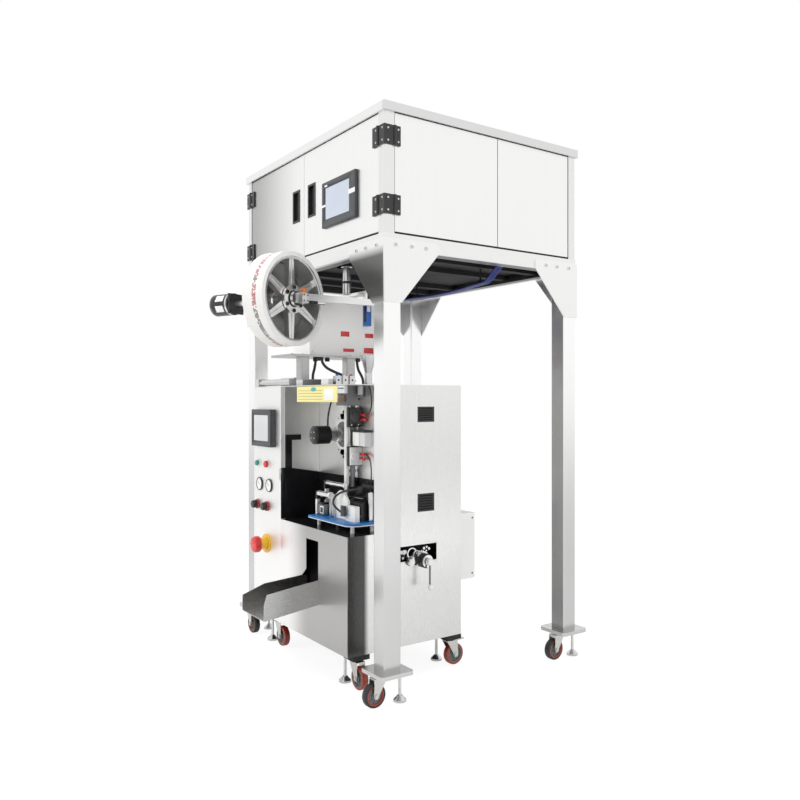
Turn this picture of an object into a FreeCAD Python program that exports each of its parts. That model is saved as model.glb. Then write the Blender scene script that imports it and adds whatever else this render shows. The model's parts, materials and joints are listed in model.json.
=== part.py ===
# Tea bag packing machine: a cabinet on casters that forms and seals the bags, below a raised
# weigher housing on four legs.
# Frame: origin on the floor at the centre of the four legs, +X to the machine's right, +Y to
# its back, +Z up. Lengths are millimetres and angles are degrees.

import FreeCAD, Part
import math
import os
import Sketcher

from FreeCAD import Placement, Rotation, Vector

SIZES = {
    # Casters and feet
    "caster_height": 119,
    "wheel_radius": 46,
    "wheel_width": 30,
    "wheel_lift": 1.5,
    "wheel_trail": 25,
    "tread_width": 27,
    "tread_depth": 9,
    "hub_radius": 15,
    "axle_radius": 5,
    "axle_head_radius": 8,
    "axle_head_length": 4,
    "pin_clearance": 0.1,
    "fork_sheet": 3,
    "fork_side_gap": 2,
    "fork_length": 56,
    "race_radius": 25,
    "race_height": 8,
    "race_gap": 0.5,
    "kingpin_radius": 6,
    "kingpin_head_radius": 12,
    "kingpin_head_height": 4,
    "pedal_reach": 76,
    "pedal_width": 26,
    "pedal_lap": 2,
    "foot_radius": 25,
    "foot_rim": 8,
    "foot_neck_radius": 9,
    "foot_neck_height": 24,
    "foot_stem_radius": 6,
    "foot_nut_radius": 10,
    "foot_nut_height": 9,
    # Leg frame
    "bay_gap_left": 77,
    "bay_gap_right": 130,
    "leg_span_y": 1020,
    "leg_width": 75,
    "leg_round": 6,
    "platform_clearance": 116,
    "leg_plate_side": 148,
    "leg_plate_thickness": 15,
    "leg_plate_round": 16,
    "leg_caster_offset": 35,
    "leg_foot_offset": 58,
    # Platform
    "beam_height": 58.5,
    "beam_width": 60,
    "deck_thickness": 6,
    "deck_depth": 17.5,
    "rib_width": 40,
    "rib_height": 22,
    "hanger_left_x": -168,
    "hanger_left_y": 207,
    "hanger_right_x": 385,
    "hanger_right_y": 152,
    "hanger_drop": 80,
    "hanger_radius": 4,
    "hanger_clip_length": 40,
    "hanger_clip_width": 16,
    "hanger_clip_thickness": 6,
    "gusset_reach": 250,
    "gusset_drop": 199,
    "gusset_rise": 39,
    "gusset_thickness": 5,
    "gusset_round": 14,
    # Weigher housing
    "housing_height": 453.5,
    "post_width_x": 40,
    "post_width_y": 45,
    "post_round": 10,
    "rail_height": 30,
    "rail_width": 20,
    "door_inset": 2,
    "door_thickness": 22,
    "door_round": 2,
    "door_seam": 3,
    "door_gap": 8,
    "front_split": -25,
    "side_split": 50,
    "lid_thickness": 35,
    "lid_overhang": 9,
    "lid_round": 4,
    "hinge_height": 74,
    "hinge_low": 70,
    "hinge_high": 328,
    "hinge_sheet": 4,
    "hinge_leaf_front": 37,
    "hinge_leaf_side": 26,
    "hinge_barrel_radius": 6,
    "handle_width": 56,
    "handle_height": 132,
    "handle_low": 170,
    "handle_offset": 71,
    "handle_depth": 16,
    "handle_flange": 5,
    "handle_wall": 4,
    "screen_width": 266,
    "screen_height": 188,
    "screen_low": 92,
    "screen_offset": 191,
    "screen_depth": 12,
    "screen_border": 36,
    "screen_sink": 1.5,
    # Cabinet
    "spacer_height": 21,
    "spacer_side": 76,
    "cabinet_width": 868,
    "cabinet_depth": 569,
    "cabinet_height": 1068,
    "cabinet_front_out": 37,
    "cabinet_sheet": 3,
    "cabinet_sill": 40,
    "cabinet_caster_in_x": 40,
    "cabinet_caster_left": 153,
    "cabinet_caster_front": 67,
    "cabinet_caster_back": 35,
    "cabinet_foot_offset": 88,
    "column_width": 285,
    "column_door": 20,
    "counter_height": 470,
    "counter_thickness": 6,
    "recess_depth": 197,
    "black_sheet": 3,
    "black_back_height": 204,
    "black_side_height": 229,
    "black_side_front": 47,
    "bracket_width": 31,
    "bracket_height": 150,
    "bracket_arm": 46,
    "bracket_arm_height": 24,
    "bracket_thickness": 10,
    "vent_width": 87,
    "vent_high": 64,
    "vent_low_height": 75,
    "vent_front": 338,
    "vent_upper_level": 914,
    "vent_lower_level": 542,
    "vent_slots": 6,
    "vent_frame": 7,
    "vent_bar": 4,
    "vent_sink": 1.5,
    "window_front": 251,
    "window_width": 186,
    "window_level": 325,
    "window_height": 91,
    # Slot and discharge tray
    "slot_right": 233,
    "slot_width": 105,
    "slot_level": 157.5,
    "slot_height": 262.5,
    "slot_notch_width": 38,
    "slot_notch_low": 99.5,
    "slot_notch_high": 133.5,
    "tray_width": 213,
    "tray_wall": 99,
    "tray_reach": 243,
    "tray_inside": 60,
    "tray_fall": 31,
    "tray_sheet": 3,
    "tray_floor_level": 161,
    "tray_right_kink": 13,
    "tray_right_drop": 28,
    "tray_left_kink": 99,
    "tray_left_drop": 11,
    "tray_left_wall": 76,
    "tray_end_height": 62,
    # Controls on the column
    "panel_screen_width": 206,
    "panel_screen_height": 172,
    "panel_screen_left": 31,
    "panel_screen_level": 790,
    "panel_screen_depth": 28,
    "panel_screen_border": 26,
    "button_left": 49,
    "button_pitch": 100,
    "button_level": 708,
    "button_radius": 16,
    "button_length": 16,
    "button_ring_radius": 20,
    "button_ring_length": 4,
    "gauge_left": 69,
    "gauge_pitch": 102,
    "gauge_level": 611,
    "gauge_radius": 31,
    "gauge_length": 14,
    "gauge_rim": 4,
    "gauge_sink": 3,
    "knob_left": 44,
    "knob_pitch": 105,
    "knob_level": 513,
    "knob_radius": 18,
    "knob_length": 42,
    "knob_base_radius": 23,
    "knob_base_length": 14,
    "stop_left": 143,
    "stop_level": 340,
    "stop_plate_radius": 44,
    "stop_plate_length": 8,
    "stop_neck_radius": 30,
    "stop_neck_length": 46,
    "stop_cap_radius": 38,
    "stop_cap_length": 30,
    "stop_cap_round": 9,
    # Bag forming station on the counter
    "bag_plate_left": 205,
    "bag_plate_front": 32,
    "bag_plate_width": 342,
    "bag_plate_depth": 160,
    "bag_plate_thickness": 12,
    "bag_plate_corner": 48,
    "bag_post_height": 30,
    "bag_post_radius": 8,
    "bag_post_inset": 34,
    "tube_right_gap": 250,
    "tube_back_gap": 50,
    "tube_radius": 10.5,
    "tube_bottom": 172,
    "tube_wall": 1.5,
    "head_block_height": 83,
    "head_block_width": 64,
    "guide_radius": 11,
    "guide_back_gap": 20,
    "guide_bottom": 165,
    "guide_collar_radius": 15,
    "guide_collar_level": 228,
    "guide_collar_length": 10,
    "rear_roller_radius": 10,
    "rear_roller_level": 133,
    "rear_roller_length": 164,
    "rear_roller_gap": 30,
    "front_roller_radius": 13,
    "front_roller_level": 90,
    "front_roller_length": 109,
    "front_roller_gap": 40,
    "roller_shaft_radius": 5,
    "cheek_thickness": 12,
    "cheek_margin": 12,
    "cheek_opening": 60,
    "post_thickness": 8,
    "motor_width": 60,
    "motor_depth": 38,
    "motor_height": 54,
    "end_post_gap": 15,
    "end_post_height": 118,
    "shoe_left": 82,
    "shoe_width": 150,
    "shoe_height": 116,
    "shoe_thickness": 10,
    "shoe_shoulder": 40,
    "shoe_back_gap": 46,
    "shoe_block_width": 74,
    "shoe_block_depth": 22,
    "shoe_block_height": 62,
    "jaw_left": 192,
    "jaw_length": 108,
    "jaw_depth": 28,
    "jaw_height": 92,
    "jaw_slope": 26,
    "jaw_gap": 12,
    "horn_tube_gap": 97.5,
    "horn_level": 385,
    "horn_disc_radius": 93,
    "horn_disc_length": 8,
    "horn_ring_radius": 66,
    "horn_ring_length": 5,
    "horn_lobe_radius": 30,
    "horn_lobe_reach": 88,
    "horn_neck_radius": 27,
    "horn_neck_length": 71,
    "horn_body_radius": 39,
    "horn_body_length": 78,
    "horn_core_radius": 28,
    "horn_fin_count": 8,
    "horn_fin_length": 6,
    "gripper_tube_gap": 20.5,
    "gripper_width": 28,
    "gripper_depth": 62,
    "gripper_height": 84,
    "gripper_upper": 421,
    "gripper_lower": 256,
    "gripper_cap_radius": 20,
    "gripper_cap_length": 9,
    "gripper_cap_front": 24,
    "fitting_radius": 6,
    "fitting_pitch": 20,
    "fitting_back": 14,
    "fitting_length": 46,
    "actuator_tube_gap": 14.5,
    "actuator_width": 107,
    "actuator_depth": 38,
    "actuator_height": 68,
    "actuator_level": 342,
    # Gear adjuster and crank
    "adjuster_radius": 40,
    "adjuster_width": 26,
    "gear_teeth": 24,
    "gear_tooth_depth": 4,
    "adjuster_front_gap": 362,
    "adjuster_level": 342,
    "adjuster_neck_radius": 15,
    "adjuster_housing_radius": 26,
    "adjuster_housing_gap": 1,
    "adjuster_housing_out": 40,
    "adjuster_flange_radius": 32,
    "adjuster_flange_length": 8,
    "idler_radius": 15,
    "idler_offset": 66,
    "crank_shaft_radius": 8,
    "crank_hub_radius": 15,
    "crank_hub_length": 18,
    "crank_arm": 103,
    "crank_arm_radius": 4,
    "crank_ball_radius": 12,
    # Electrical box on the back
    "wiring_width": 150,
    "wiring_depth": 126,
    "wiring_height": 289,
    "wiring_level": 216,
    "wiring_right": 55,
    "wiring_round": 4,
    # Film reel
    "reel_right_gap": 205,
    "reel_front_gap": 123,
    "reel_drop": 41,
    "reel_angle": 22.5,
    "film_radius": 190,
    "film_depth": 18,
    "film_width": 104,
    "rim_depth": 11,
    "rim_inset": 3,
    "spoke_count": 6,
    "spoke_root": 42,
    "spoke_tip": 26,
    "spoke_sink": 16,
    "spoke_thickness": 26,
    "reel_hub_radius": 34,
    "reel_hub_length": 84,
    "reel_flange_radius": 58,
    "reel_flange_length": 10,
    "spindle_radius": 10,
    "spindle_back": 330,
    "clamp_gap": 6,
    "clamp_length": 42,
    "clamp_side": 40,
    "clamp_disc_radius": 30,
    "clamp_disc_length": 12,
    "brake_radius": 46,
    "brake_length": 96,
    "brake_plate_side": 84,
    "brake_plate_length": 10,
    "arm_width": 24,
    "arm_height": 27,
    "arm_rise": 5,
    "arm_back_gap": 227,
    "arm_block_length": 40,
    "arm_plate_thickness": 12,
    "arm_plate_overlap": 60,
    # Control box and its stand
    "box_right_gap": 395,
    "box_depth": 160,
    "box_front_gap": 47,
    "box_width": 272,
    "box_height": 250,
    "box_round": 3,
    "side_box_width": 118,
    "side_box_depth": 128,
    "side_box_height": 240,
    "module_width": 46,
    "module_depth": 34,
    "module_height": 110,
    "shelf_rise": 125,
    "shelf_thickness": 10,
    "shelf_front": 97,
    "shelf_side": 20,
    "stand_post": 44,
    "stand_post_round": 5,
    "stand_post_pitch": 232,
    "stand_plate_level": 20,
    "stand_plate_thickness": 8,
    "stand_plate_margin": 8,
    "stand_foot": 34,
    # Product outlet and funnel
    "outlet_radius": 17,
    "outlet_length": 110,
    "outlet_wall": 2,
    "outlet_collar_radius": 46,
    "outlet_collar_height": 12,
    "outlet_flange_radius": 24,
    "funnel_front_gap": 257,
    "funnel_top_radius": 36,
    "funnel_bottom_radius": 15,
    "funnel_height": 78,
    "funnel_base": 54,
    "funnel_wall": 2,
    "valve_width": 26,
    "valve_height": 40,
    "valve_pitch": 34,
    "valve_count": 3,
    # Air cylinder on the cabinet
    "air_end_gap": 9,
    "air_block": 36,
    "air_block_length": 44,
    "air_radius": 15,
    "air_body_length": 110,
    "air_front": 4,
    # Hoses
    "hose_radius": 6,
    "hose_clearance": 0.3,
    "air_hose_radius": 5,
    "air_hose_pitch": 12,
    "thin_hose_radius": 4,
}

doc = FreeCAD.newDocument("TeaBagPacker")
sheet = doc.addObject("Spreadsheet::Sheet", "Sizes")
for row, (alias, number) in enumerate(SIZES.items(), 1):
    sheet.set(f"A{row}", alias)
    sheet.set(f"B{row}", str(number))
    sheet.setAlias(f"B{row}", alias)
doc.recompute()


class Size:
    """A length, angle or count: its formula over the sheet, and its number now."""

    def __init__(self, formula, number):
        self.formula = formula
        self.number = float(number)

    def joined(self, sign, other, number):
        return Size(f"({self.formula} {sign} {other.formula})", number)

    def __add__(self, other):
        other = as_size(other)
        return self.joined("+", other, self.number + other.number)

    def __sub__(self, other):
        other = as_size(other)
        return self.joined("-", other, self.number - other.number)

    def __mul__(self, other):
        other = as_size(other)
        return self.joined("*", other, self.number * other.number)

    def __truediv__(self, other):
        other = as_size(other)
        return self.joined("/", other, self.number / other.number)

    def __radd__(self, other):
        return as_size(other) + self

    def __rsub__(self, other):
        return as_size(other) - self

    def __rmul__(self, other):
        return as_size(other) * self

    def __neg__(self):
        return as_size(-1) * self


def as_size(value):
    """Return a plain number as a Size, and a Size as it is."""
    if isinstance(value, Size):
        return value
    return Size(f"({float(value)!r})", value)


class Sheet:
    """The sheet's sizes, read as attributes."""

    def __getattr__(self, alias):
        return Size(f"Sizes.{alias}", sheet.get(alias))


of = Sheet()
NODES = []
ALONG = {
    "X": Rotation(Vector(0, 1, 0), 90),
    "Y": Rotation(Vector(1, 0, 0), -90),
    "Z": Rotation(),
}


def bind(thing, path, size):
    """Tie one property to the sheet."""
    thing.setExpression(path, as_size(size).formula)


def place(thing, at, rotation=Rotation()):
    """Turn a thing about its own origin, and bind where that origin goes."""
    thing.Placement = Placement(Vector(), rotation)
    for axis, size in zip("xyz", at):
        bind(thing, f"Placement.Base.{axis}", size)
    return thing


def box(name, x, y, z):
    """Block between the two ends given along each axis."""
    solid = doc.addObject("Part::Box", name)
    for side, ends in zip(("Length", "Width", "Height"), (x, y, z)):
        bind(solid, side, as_size(ends[1]) - ends[0])
    return place(solid, (x[0], y[0], z[0]))


def from_axis(axis, across, along):
    """Order a point's sizes: two across the axis and one along it."""
    spot = list(across)
    spot.insert("XYZ".index(axis), along)
    return spot


def rod(name, axis, across, radius, ends):
    """Cylinder along an axis between two ends."""
    solid = doc.addObject("Part::Cylinder", name)
    bind(solid, "Radius", radius)
    bind(solid, "Height", as_size(ends[1]) - ends[0])
    return place(solid, from_axis(axis, across, ends[0]), ALONG[axis])


def taper(name, across, radii, ends):
    """Upright cone frustum: lower and upper radius, lower and upper level."""
    solid = doc.addObject("Part::Cone", name)
    bind(solid, "Radius1", radii[0])
    bind(solid, "Radius2", radii[1])
    bind(solid, "Height", as_size(ends[1]) - ends[0])
    return place(solid, from_axis("Z", across, ends[0]))


def ball(name, at, radius):
    """Sphere about a point."""
    solid = doc.addObject("Part::Sphere", name)
    bind(solid, "Radius", radius)
    return place(solid, at)


def fuse(name, pieces):
    """One solid from touching or overlapping pieces."""
    solid = doc.addObject("Part::MultiFuse", name)
    solid.Shapes = pieces
    solid.Refine = True
    return solid


def cut(name, base, tools):
    """A base with tools taken away."""
    solid = doc.addObject("Part::Cut", name)
    solid.Base = base
    solid.Tool = tools[0] if len(tools) == 1 else fuse(f"{name}_tools", tools)
    return solid


def group(name, pieces):
    """Like pieces that stay separate solids."""
    compound = doc.addObject("Part::Compound", name)
    compound.Links = pieces
    return compound


def node(thing, label):
    """Name a sub-part, and mark it for export."""
    thing.Label = label
    NODES.append(thing)
    return thing


def outline_constraints(sketch, outline):
    """Add one closed outline, and return its constraints with the sizes that drive them."""
    first = sketch.GeometryCount
    if len(outline) == 3 and not isinstance(outline[0], tuple):
        u, v, radius = (as_size(size) for size in outline)
        circle = Part.Circle(Vector(u.number, v.number, 0), Vector(0, 0, 1), radius.number)
        sketch.addGeometry(circle, False)
        return point_constraints(first, 3, (u, v)) + [
            (Sketcher.Constraint("Radius", first, radius.number), radius),
        ]
    corners = [(as_size(u), as_size(v)) for u, v in outline]
    spots = [Vector(u.number, v.number, 0) for u, v in corners]
    found = []
    for index, corner in enumerate(corners):
        after = (index + 1) % len(corners)
        sketch.addGeometry(Part.LineSegment(spots[index], spots[after]), False)
        joint = Sketcher.Constraint("Coincident", first + index, 2, first + after, 1)
        found.append((joint, None))
        found += point_constraints(first + index, 1, corner)
    return found


def point_constraints(element, end, corner):
    """Fix one point of an element by its two sizes from the sketch's origin."""
    return [
        (Sketcher.Constraint(kind, -1, 1, element, end, size.number), size)
        for kind, size in zip(("DistanceX", "DistanceY"), corner)
    ]


def sketch_on(body, plane, level, outlines):
    """Sketch on a plane of the body, moved to a level along the plane's world axis."""
    sketch = body.newObject("Sketcher::SketchObject", f"{body.Name}_outline")
    base = next(item for item in body.Origin.OriginFeatures if item.Role == plane)
    sketch.AttachmentSupport = [(base, "")]
    sketch.MapMode = "FlatFace"
    side = -1 if plane == "XZ_Plane" else 1
    bind(sketch, "AttachmentOffset.Base.z", side * as_size(level))
    found = []
    for outline in outlines:
        found += outline_constraints(sketch, outline)
    numbers = sketch.addConstraint([constraint for constraint, size in found])
    for number, (constraint, size) in zip(numbers, found):
        if size is not None:
            bind(sketch, f"Constraints[{number}]", size)
    return sketch


def pad(body, plane, outlines, ends):
    """Pad outlines between two levels: outlines inside the first one are holes."""
    start = ends[1] if plane == "XZ_Plane" else ends[0]
    sketch = sketch_on(body, plane, start, outlines)
    feature = body.newObject("PartDesign::Pad", f"{body.Name}_pad")
    feature.Profile = sketch
    bind(feature, "Length", as_size(ends[1]) - ends[0])
    return feature


def slab(name, plane, outlines, ends):
    """Body with one pad."""
    body = doc.addObject("PartDesign::Body", name)
    pad(body, plane, outlines, ends)
    return body


def turned(name, profile):
    """Body turned about its own Z axis from (radius, level) points."""
    body = doc.addObject("PartDesign::Body", name)
    sketch = sketch_on(body, "XZ_Plane", 0, [profile])
    turn = body.newObject("PartDesign::Revolution", f"{name}_turn")
    turn.Profile = sketch
    turn.ReferenceAxis = (sketch, ["V_Axis"])
    turn.Angle = 360
    return body


def runs_along(edge, axis):
    """True for a straight edge parallel to an axis."""
    if not isinstance(edge.Curve, (Part.Line, Part.LineSegment)):
        return False
    run = edge.Vertexes[-1].Point - edge.Vertexes[0].Point
    return abs(abs(run.normalize().dot(axis)) - 1) < 1e-6


def soften(body, radius, pick):
    """Round the edges of a body that pick chooses."""
    doc.recompute()
    base = body.Tip
    edges = enumerate(base.Shape.Edges, 1)
    names = [f"Edge{number}" for number, edge in edges if pick(edge)]
    fillet = body.newObject("PartDesign::Fillet", f"{body.Name}_round")
    fillet.Base = (base, names)
    bind(fillet, "Radius", radius)
    return body


def upright(edge):
    return runs_along(edge, Vector(0, 0, 1))


def rectangle(x, y):
    """Four corners from two ends each way."""
    return [(x[0], y[0]), (x[1], y[0]), (x[1], y[1]), (x[0], y[1])]


def facing(side, near, far):
    """Two ends on one side of the centre, the lower one first."""
    if side > 0:
        return (near, far)
    return (-as_size(far), -as_size(near))


# Levels and planes that several pieces share
half_x = (of.cabinet_width + of.bay_gap_left + of.bay_gap_right) / 2 + of.leg_width
half_y = of.leg_span_y / 2
leg_x = half_x - of.leg_width / 2
leg_y = half_y - of.leg_width / 2
cabinet_bottom = of.caster_height + of.spacer_height
cabinet_top = cabinet_bottom + of.cabinet_height
cabinet_left = -half_x + of.leg_width + of.bay_gap_left
cabinet_right = cabinet_left + of.cabinet_width
cabinet_front = -half_y - of.cabinet_front_out
cabinet_back = cabinet_front + of.cabinet_depth
column_right = cabinet_left + of.column_width
counter_top = cabinet_bottom + of.counter_height
recess_back = cabinet_front + of.recess_depth
recess_front = cabinet_front + of.column_door
tube_x = cabinet_right - of.tube_right_gap
tube_y = recess_back - of.tube_back_gap
horn_x = tube_x - of.horn_tube_gap
adjuster_y = cabinet_front + of.adjuster_front_gap
shelf_low = cabinet_top + of.shelf_rise
box_top = shelf_low + of.shelf_thickness + of.box_height
box_right = cabinet_right - of.box_right_gap
box_front = cabinet_front + of.box_front_gap
reel_x = cabinet_right - of.reel_right_gap
reel_y = cabinet_front - of.reel_front_gap
reel_level = box_top - of.reel_drop
arm_back = cabinet_front + of.arm_back_gap
leg_plate_top = of.caster_height + of.leg_plate_thickness
beam_bottom = box_top + of.platform_clearance
beam_top = beam_bottom + of.beam_height
deck_bottom = beam_top - of.deck_depth - of.deck_thickness
lid_bottom = beam_top + of.housing_height
axle_level = of.wheel_radius + of.wheel_lift
fork_top = of.caster_height - of.race_height - of.race_gap
fork_bottom = fork_top - of.fork_sheet
shaft_bore = of.crank_shaft_radius + of.pin_clearance
CORNERS = {
    "front_right": (1, -1),
    "front_left": (-1, -1),
    "rear_right": (1, 1),
    "rear_left": (-1, 1),
}
TRAILS = {
    "frame_front_right": 90,
    "frame_front_left": 180,
    "frame_rear_right": 90,
    "frame_rear_left": 90,
    "cabinet_front_right": 180,
    "cabinet_front_left": 180,
    "cabinet_rear_right": 270,
    "cabinet_rear_left": 180,
}


def swivel_spots():
    """Where each caster swivels, by name."""
    spots = {}
    for corner, (side_x, side_y) in CORNERS.items():
        spots[f"frame_{corner}"] = (side_x * leg_x, side_y * leg_y - of.leg_caster_offset)
        if side_x > 0:
            x = cabinet_right - of.cabinet_caster_in_x
        else:
            x = cabinet_left + of.cabinet_caster_left
        if side_y < 0:
            y = cabinet_front + of.cabinet_caster_front
        else:
            y = cabinet_back - of.cabinet_caster_back
        spots[f"cabinet_{corner}"] = (x, y)
    return spots


def kingpin(name, at):
    """Ball race, pin and head below a mounting face, which carry a fork."""
    base = of.caster_height
    head_top = fork_bottom - of.race_gap
    head_bottom = head_top - of.kingpin_head_height
    return [
        rod(f"{name}_race", "Z", at, of.race_radius, (base - of.race_height, base)),
        rod(f"{name}_pin", "Z", at, of.kingpin_radius, (head_bottom, base)),
        rod(f"{name}_head", "Z", at, of.kingpin_head_radius, (head_bottom, head_top)),
    ]


def frame_legs():
    """Square tube legs, each with its base plate and kingpin."""
    legs = []
    spots = swivel_spots()
    for corner, (side_x, side_y) in CORNERS.items():
        x = side_x * leg_x
        y = side_y * leg_y
        half = of.leg_width / 2
        tube_outline = rectangle((x - half, x + half), (y - half, y + half))
        tube = slab(f"{corner}_tube", "XY_Plane", [tube_outline], (leg_plate_top, beam_bottom))
        soften(tube, of.leg_round, upright)
        reach = of.leg_plate_side / 2
        plate_outline = rectangle((x - reach, x + reach), (y - reach, y + reach))
        plate_ends = (of.caster_height, leg_plate_top)
        plate = slab(f"{corner}_plate", "XY_Plane", [plate_outline], plate_ends)
        soften(plate, of.leg_plate_round, upright)
        pin = kingpin(f"{corner}_frame", spots[f"frame_{corner}"])
        legs.append(fuse(f"{corner}_leg", [tube, plate] + pin))
    node(group("legs", legs), "frame_legs")


def corner_gussets():
    """Bent corner plates that wrap each leg and both beams."""
    gussets = []
    low = beam_bottom - of.gusset_drop
    high = beam_bottom + of.gusset_rise
    for corner, (side_x, side_y) in CORNERS.items():
        outer_x = side_x * (half_x + of.gusset_thickness)
        outer_y = side_y * (half_y + of.gusset_thickness)
        leg_edge_x = side_x * (half_x - of.leg_width)
        leg_edge_y = side_y * (half_y - of.leg_width)
        tip_x = side_x * (half_x - of.gusset_reach)
        tip_y = side_y * (half_y - of.gusset_reach)
        front = [(outer_x, low), (leg_edge_x, low), (tip_x, beam_bottom), (tip_x, high), (outer_x, high)]
        side = [(outer_y, low), (leg_edge_y, low), (tip_y, beam_bottom), (tip_y, high), (outer_y, high)]
        across = facing(side_y, half_y, half_y + of.gusset_thickness)
        along = facing(side_x, half_x, half_x + of.gusset_thickness)
        front_plate = slab(f"{corner}_gusset_front", "XZ_Plane", [front], across)
        side_plate = slab(f"{corner}_gusset_side", "YZ_Plane", [side], along)
        soften(front_plate, of.gusset_round, top_tip(tip_x, high))
        soften(side_plate, of.gusset_round, top_tip(tip_y, high))
        gussets.append(fuse(f"{corner}_gusset", [front_plate, side_plate]))
    node(group("gussets", gussets), "corner_gussets")


def top_tip(tip, level):
    """Pick the short edge at a gusset's top tip."""
    def pick(edge):
        middle = edge.CenterOfMass
        if abs(middle.z - level.number) > 1e-3 or upright(edge):
            return False
        runs_x = runs_along(edge, Vector(1, 0, 0))
        across = middle.y if runs_x else middle.x
        return abs(across - tip.number) < 1e-3
    return pick


def platform():
    """Ring of beams on the legs, and the deck that hangs in it on ribs."""
    outer = rectangle((-half_x, half_x), (-half_y, half_y))
    inner_x = half_x - of.beam_width
    inner_y = half_y - of.beam_width
    inner = rectangle((-inner_x, inner_x), (-inner_y, inner_y))
    node(slab("beams", "XY_Plane", [outer, inner], (beam_bottom, beam_top)), "platform_beams")
    hole = (tube_x, tube_y, of.outlet_radius - of.outlet_wall)
    deck = slab("deck", "XY_Plane", [inner, hole], (deck_bottom, deck_bottom + of.deck_thickness))
    ribs = []
    pitch = half_x / 3
    for index in (-2, -1, 1, 2):
        centre = index * pitch
        ends = (centre - of.rib_width / 2, centre + of.rib_width / 2)
        levels = (deck_bottom - of.rib_height, deck_bottom)
        ribs.append(box(f"rib_{index + 2}", ends, (-inner_y, inner_y), levels))
    node(fuse("deck_and_ribs", [deck] + ribs + air_line_hangers()), "platform_deck")


hanger_low = deck_bottom - of.hanger_drop


def hanger_spots():
    """Where the two hangers of the air lines drop from the deck."""
    return [
        (of.hanger_left_x, of.hanger_left_y),
        (of.hanger_right_x, of.hanger_right_y),
    ]


def air_line_hangers():
    """Two rods below the deck, each with a flat clip that the air lines lie against."""
    hangers = []
    high = hanger_low + of.hanger_clip_thickness
    half_long = of.hanger_clip_length / 2
    half_wide = of.hanger_clip_width / 2
    for index, (x, y) in enumerate(hanger_spots()):
        hangers.append(rod(f"hanger_rod_{index}", "Z", (x, y), of.hanger_radius, (hanger_low, deck_bottom)))
        hangers.append(box(
            f"hanger_clip_{index}",
            (x - half_wide, x + half_wide),
            (y - half_long, y + half_long),
            (hanger_low, high),
        ))
    return hangers


def housing():
    """Posts and rails of the weigher housing, with its doors, panels and lid."""
    posts = []
    for corner, (side_x, side_y) in CORNERS.items():
        x = facing(side_x, half_x - of.post_width_x, half_x)
        y = facing(side_y, half_y - of.post_width_y, half_y)
        post = slab(f"{corner}_post", "XY_Plane", [rectangle(x, y)], (beam_top, lid_bottom))
        outer = Vector((side_x * half_x).number, (side_y * half_y).number, 0)
        soften(post, of.post_round, outer_corner(outer))
        posts.append(post)
    rail_x = half_x - of.door_inset - of.door_thickness
    rail_y = half_y - of.door_inset - of.door_thickness
    outer = rectangle((-rail_x, rail_x), (-rail_y, rail_y))
    inner_x = rail_x - of.rail_width
    inner_y = rail_y - of.rail_width
    inner = rectangle((-inner_x, inner_x), (-inner_y, inner_y))
    low_rail = slab("low_rail", "XY_Plane", [outer, inner], (beam_top, beam_top + of.rail_height))
    top_rail = slab("top_rail", "XY_Plane", [outer, inner], (lid_bottom - of.rail_height, lid_bottom))
    node(fuse("posts_and_rails", posts + [low_rail, top_rail]), "housing_frame")
    side = of.lid_overhang
    lid_outline = rectangle((-half_x - side, half_x + side), (-half_y - side, half_y + side))
    lid = slab("lid", "XY_Plane", [lid_outline], (lid_bottom, lid_bottom + of.lid_thickness))
    soften(lid, of.lid_round, lambda edge: edge.CenterOfMass.z > lid_bottom.number + 1)
    node(lid, "housing_lid")


def outer_corner(corner):
    """Pick the upright edge at one corner."""
    def pick(edge):
        middle = edge.CenterOfMass
        return upright(edge) and math.hypot(middle.x - corner.x, middle.y - corner.y) < 1
    return pick


door_x = half_x - of.post_width_x - of.door_seam
door_y = half_y - of.post_width_y - of.door_seam
door_levels = (beam_top + of.door_gap, lid_bottom - of.door_seam)
front_door_y = facing(-1, half_y - of.door_inset - of.door_thickness, half_y - of.door_inset)
handle_levels = (beam_top + of.handle_low, beam_top + of.handle_low + of.handle_height)


def handle_spans():
    """The two ends across each handle, left door first."""
    middle = of.handle_offset
    half = of.handle_width / 2
    return [
        (of.front_split - middle - half, of.front_split - middle + half),
        (of.front_split + middle - half, of.front_split + middle + half),
    ]


def front_doors():
    """Two front doors with a recess for each pull, which their hinges carry."""
    seam = of.door_seam / 2
    spans = [(-door_x, of.front_split - seam), (of.front_split + seam, door_x)]
    outer = front_door_y[0]
    doors = []
    for label, span, handle in zip(("left_door", "right_door"), spans, handle_spans()):
        leaf = slab(f"{label}_leaf", "XZ_Plane", [rectangle(span, door_levels)], front_door_y)
        soften(leaf, of.door_round, lambda edge: edge.CenterOfMass.y < outer.number + 1e-3)
        recess = (outer - of.door_inset, outer + of.handle_depth)
        doors.append(cut(label, leaf, [box(f"{label}_recess", handle, recess, handle_levels)]))
    node(group("doors", doors), "front_doors")


def side_panels():
    """Right-hand door and panel, and plain panels on the left and the back."""
    seam = of.door_seam / 2
    inner = half_x - of.door_inset - of.door_thickness
    outer = half_x - of.door_inset
    panels = []
    for side in (1, -1):
        across = facing(side, inner, outer)
        for part, ends in (
            ("front", (-door_y, of.side_split - seam)),
            ("rear", (of.side_split + seam, door_y)),
        ):
            name = f"{'right' if side > 0 else 'left'}_{part}_panel"
            panels.append(slab(name, "YZ_Plane", [rectangle(ends, door_levels)], across))
    back = facing(1, half_y - of.door_inset - of.door_thickness, half_y - of.door_inset)
    for part, ends in (("left", (-door_x, -seam)), ("right", (seam, door_x))):
        panels.append(slab(f"back_{part}_panel", "XZ_Plane", [rectangle(ends, door_levels)], back))
    node(group("panels", panels), "side_panels")


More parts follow.
